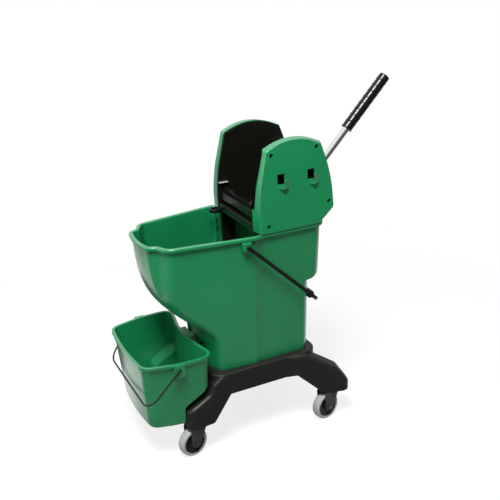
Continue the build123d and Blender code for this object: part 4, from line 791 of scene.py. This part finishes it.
# Covers: two green mouldings over the gears, each with two square holes and a hook under each hole.
# Four socket screws in recesses hold each cover to its side plate.
COVER_EDGE = 0.9
COVER_SHARP_ANGLE = 18.0
COVER_FOOT_Y = 134.5
COVER_FOOT_Z = 555.3
COVER_HEAD_Y = 123.5
COVER_HEAD_Z = 773.0
SCREW_PLACES = ((-22.0, 740.6), (99.0, 744.6), (-36.5, 571.8), (129.6, 607.1))
SCREW_RECESS = 2.5
SCREW_HEAD = 3.0
SCREW_HEAD_RADIUS = 4.5
SCREW_HEAD_EDGE = 0.5
SCREW_SOCKET_RADIUS = 2.6
SCREW_SOCKET_DEPTH = 2.0
SCREW_SHANK_RADIUS = 2.5
SCREW_SHANK = 20.0
SCREW_STEPS = 48


def socket_screw():
    """Screw along Z with its head's outer face at 0; the socket is a hexagon."""
    tip = -SCREW_HEAD - SCREW_SHANK
    rows = [(0.0, tip, False), (SCREW_SHANK_RADIUS, tip, False), (SCREW_SHANK_RADIUS, -SCREW_HEAD, False),
            (SCREW_HEAD_RADIUS, -SCREW_HEAD, False), (SCREW_HEAD_RADIUS, -SCREW_HEAD_EDGE, False),
            (SCREW_HEAD_RADIUS - SCREW_HEAD_EDGE, 0.0, False), (SCREW_SOCKET_RADIUS, 0.0, True),
            (SCREW_SOCKET_RADIUS, -SCREW_SOCKET_DEPTH, True), (0.0, -SCREW_SOCKET_DEPTH, False)]
    bm = bmesh.new()
    rings = []
    for radius, z, six_sided in rows:
        ring = []
        for k in range(SCREW_STEPS):
            a = 2 * pi * k / SCREW_STEPS
            r = radius * cos(pi / 6) / cos(a % (pi / 3) - pi / 6) if six_sided else radius
            ring.append(bm.verts.new(Vector((r * cos(a), r * sin(a), z)) * MM))
        rings.append(ring)
    for low, high in zip(rings, rings[1:]):
        for k in range(SCREW_STEPS):
            bm.faces.new((low[k - 1], low[k], high[k], high[k - 1]))
    return closed(bm)


def screw_face(z):
    """How far out a cover screw's head reaches at height z."""
    share = (z - COVER_FOOT_Z) / (COVER_HEAD_Z - COVER_FOOT_Z)
    return COVER_FOOT_Y + (COVER_HEAD_Y - COVER_FOOT_Y) * share - SCREW_RECESS


# Zinc darkened as painted shade, for the screw heads lying down in their recesses.
zinc_in_painted_shade = finish("zinc_in_painted_shade", (0.07, 0.07, 0.066), 0.4, metallic=1.0, grain=0.1)
for side in ("left", "right"):
    eased("gear_cover_" + side, "cover_" + side, green, COVER_EDGE, angle=COVER_SHARP_ANGLE)
screws = [((x, s * screw_face(z), z), (0.0, s, 0.0)) for x, z in SCREW_PLACES for s in (-1.0, 1.0)]
repeated("cover_socket_screws", socket_screw(), screws, zinc_in_painted_shade, "wringer", "zinc_steel", "cover_screws")

# Lever: a chromed steel tube bolted into a moulded socket, with a black vinyl grip of smooth lengths between
# thin raised rings, pushed over the tube's end. The key lamp leaves the tube out, since its glint would hide
# the round.
SHAFT = Vector((105.0, 0.0, 588.0))
LEVER_ANGLE = radians(46.3)
LEVER_OFFSET = 9.8
LEVER_LENGTH = 388.0
GRIP_LENGTH = 169.0
GRIP_RADIUS = 14.0
GRIP_MOUTH = 9.6
GRIP_MOUTH_EDGE = 0.6
GRIP_END = 3.0
GRIP_END_RUN = 1.0
GRIP_CAP = 4.0
GRIP_LENGTHS = 9
RING_RADIUS = 15.0
RING_WIDE = 3.4
RING_SUNK = 0.5
RING_SLOPE = 0.7
RING_TOP = 1.1
RING_ROUND = 0.2
TUBE_START = 28.0
TUBE_RADIUS = 9.5
TUBE_WALL = 1.8
TUBE_EDGE = 0.3
TUBE_GAP = 0.1
chrome = finish("lever_chrome", (0.86, 0.86, 0.87), 0.12, metallic=1.0, tone=0.02)
grip_black = finish("grip_vinyl", (0.006, 0.0062, 0.0045), 0.2, specular=0.3)
lever_line = Vector((cos(LEVER_ANGLE), 0.0, sin(LEVER_ANGLE)))
lever_foot = SHAFT + Vector((sin(LEVER_ANGLE), 0.0, -cos(LEVER_ANGLE))) * LEVER_OFFSET
grip_start = LEVER_LENGTH - GRIP_LENGTH
grip_hollow = LEVER_LENGTH - GRIP_CAP
grip_profile = [(grip_start, GRIP_MOUTH), (grip_start, GRIP_RADIUS - GRIP_MOUTH_EDGE),
                (grip_start + GRIP_MOUTH_EDGE, GRIP_RADIUS),
                (LEVER_LENGTH - GRIP_END - GRIP_END_RUN, GRIP_RADIUS)]
grip_profile += arc((LEVER_LENGTH - GRIP_END, GRIP_RADIUS - GRIP_END), GRIP_END, start=90, end=0)
grip_profile += [(LEVER_LENGTH, 0.0), (grip_hollow, 0.0), (grip_hollow, GRIP_MOUTH)]
grip = lathe(grip_profile, lever_foot * MM, lever_line)
piece("lever_grip_sleeve", grip, grip_black, "lever", "grip_rubber", "lever_grip")
ring_side = [(0.0, GRIP_RADIUS - RING_SUNK), (0.0, GRIP_RADIUS), (RING_SLOPE, RING_RADIUS - RING_ROUND),
             (RING_TOP, RING_RADIUS)]
ring_profile = ring_side + [(RING_WIDE - along, radius) for along, radius in reversed(ring_side)]
ring = lathe(ring_profile, (0.0, 0.0, 0.0), (0.0, 0.0, 1.0))
ring_starts = [grip_start + GRIP_LENGTH * k / GRIP_LENGTHS for k in range(GRIP_LENGTHS)]
ring_places = [(lever_foot + lever_line * along, lever_line) for along in ring_starts]
repeated("lever_grip_rings", ring, ring_places, grip_black, "lever", "grip_rubber")
tube_end = grip_hollow - TUBE_GAP
tube_inner = TUBE_RADIUS - TUBE_WALL
tube_profile = [(TUBE_START, tube_inner), (TUBE_START, TUBE_RADIUS - TUBE_EDGE),
                (TUBE_START + TUBE_EDGE, TUBE_RADIUS), (tube_end, TUBE_RADIUS), (tube_end, tube_inner)]
tube_mesh = lathe(tube_profile, lever_foot * MM, lever_line)
tube = piece("lever_chrome_tube", tube_mesh, chrome, "lever", "lever_chrome", "lever_tube")
off_key = bpy.data.collections.new("off_key")
off_key.objects.link(tube)
off_key.collection_objects[0].light_linking.link_state = "EXCLUDE"
key.light_linking.receiver_collection = off_key
eased("lever_socket", "lever_hub", frame_black, FRAME_EDGE)
dress(zinc, "lever_bolt")
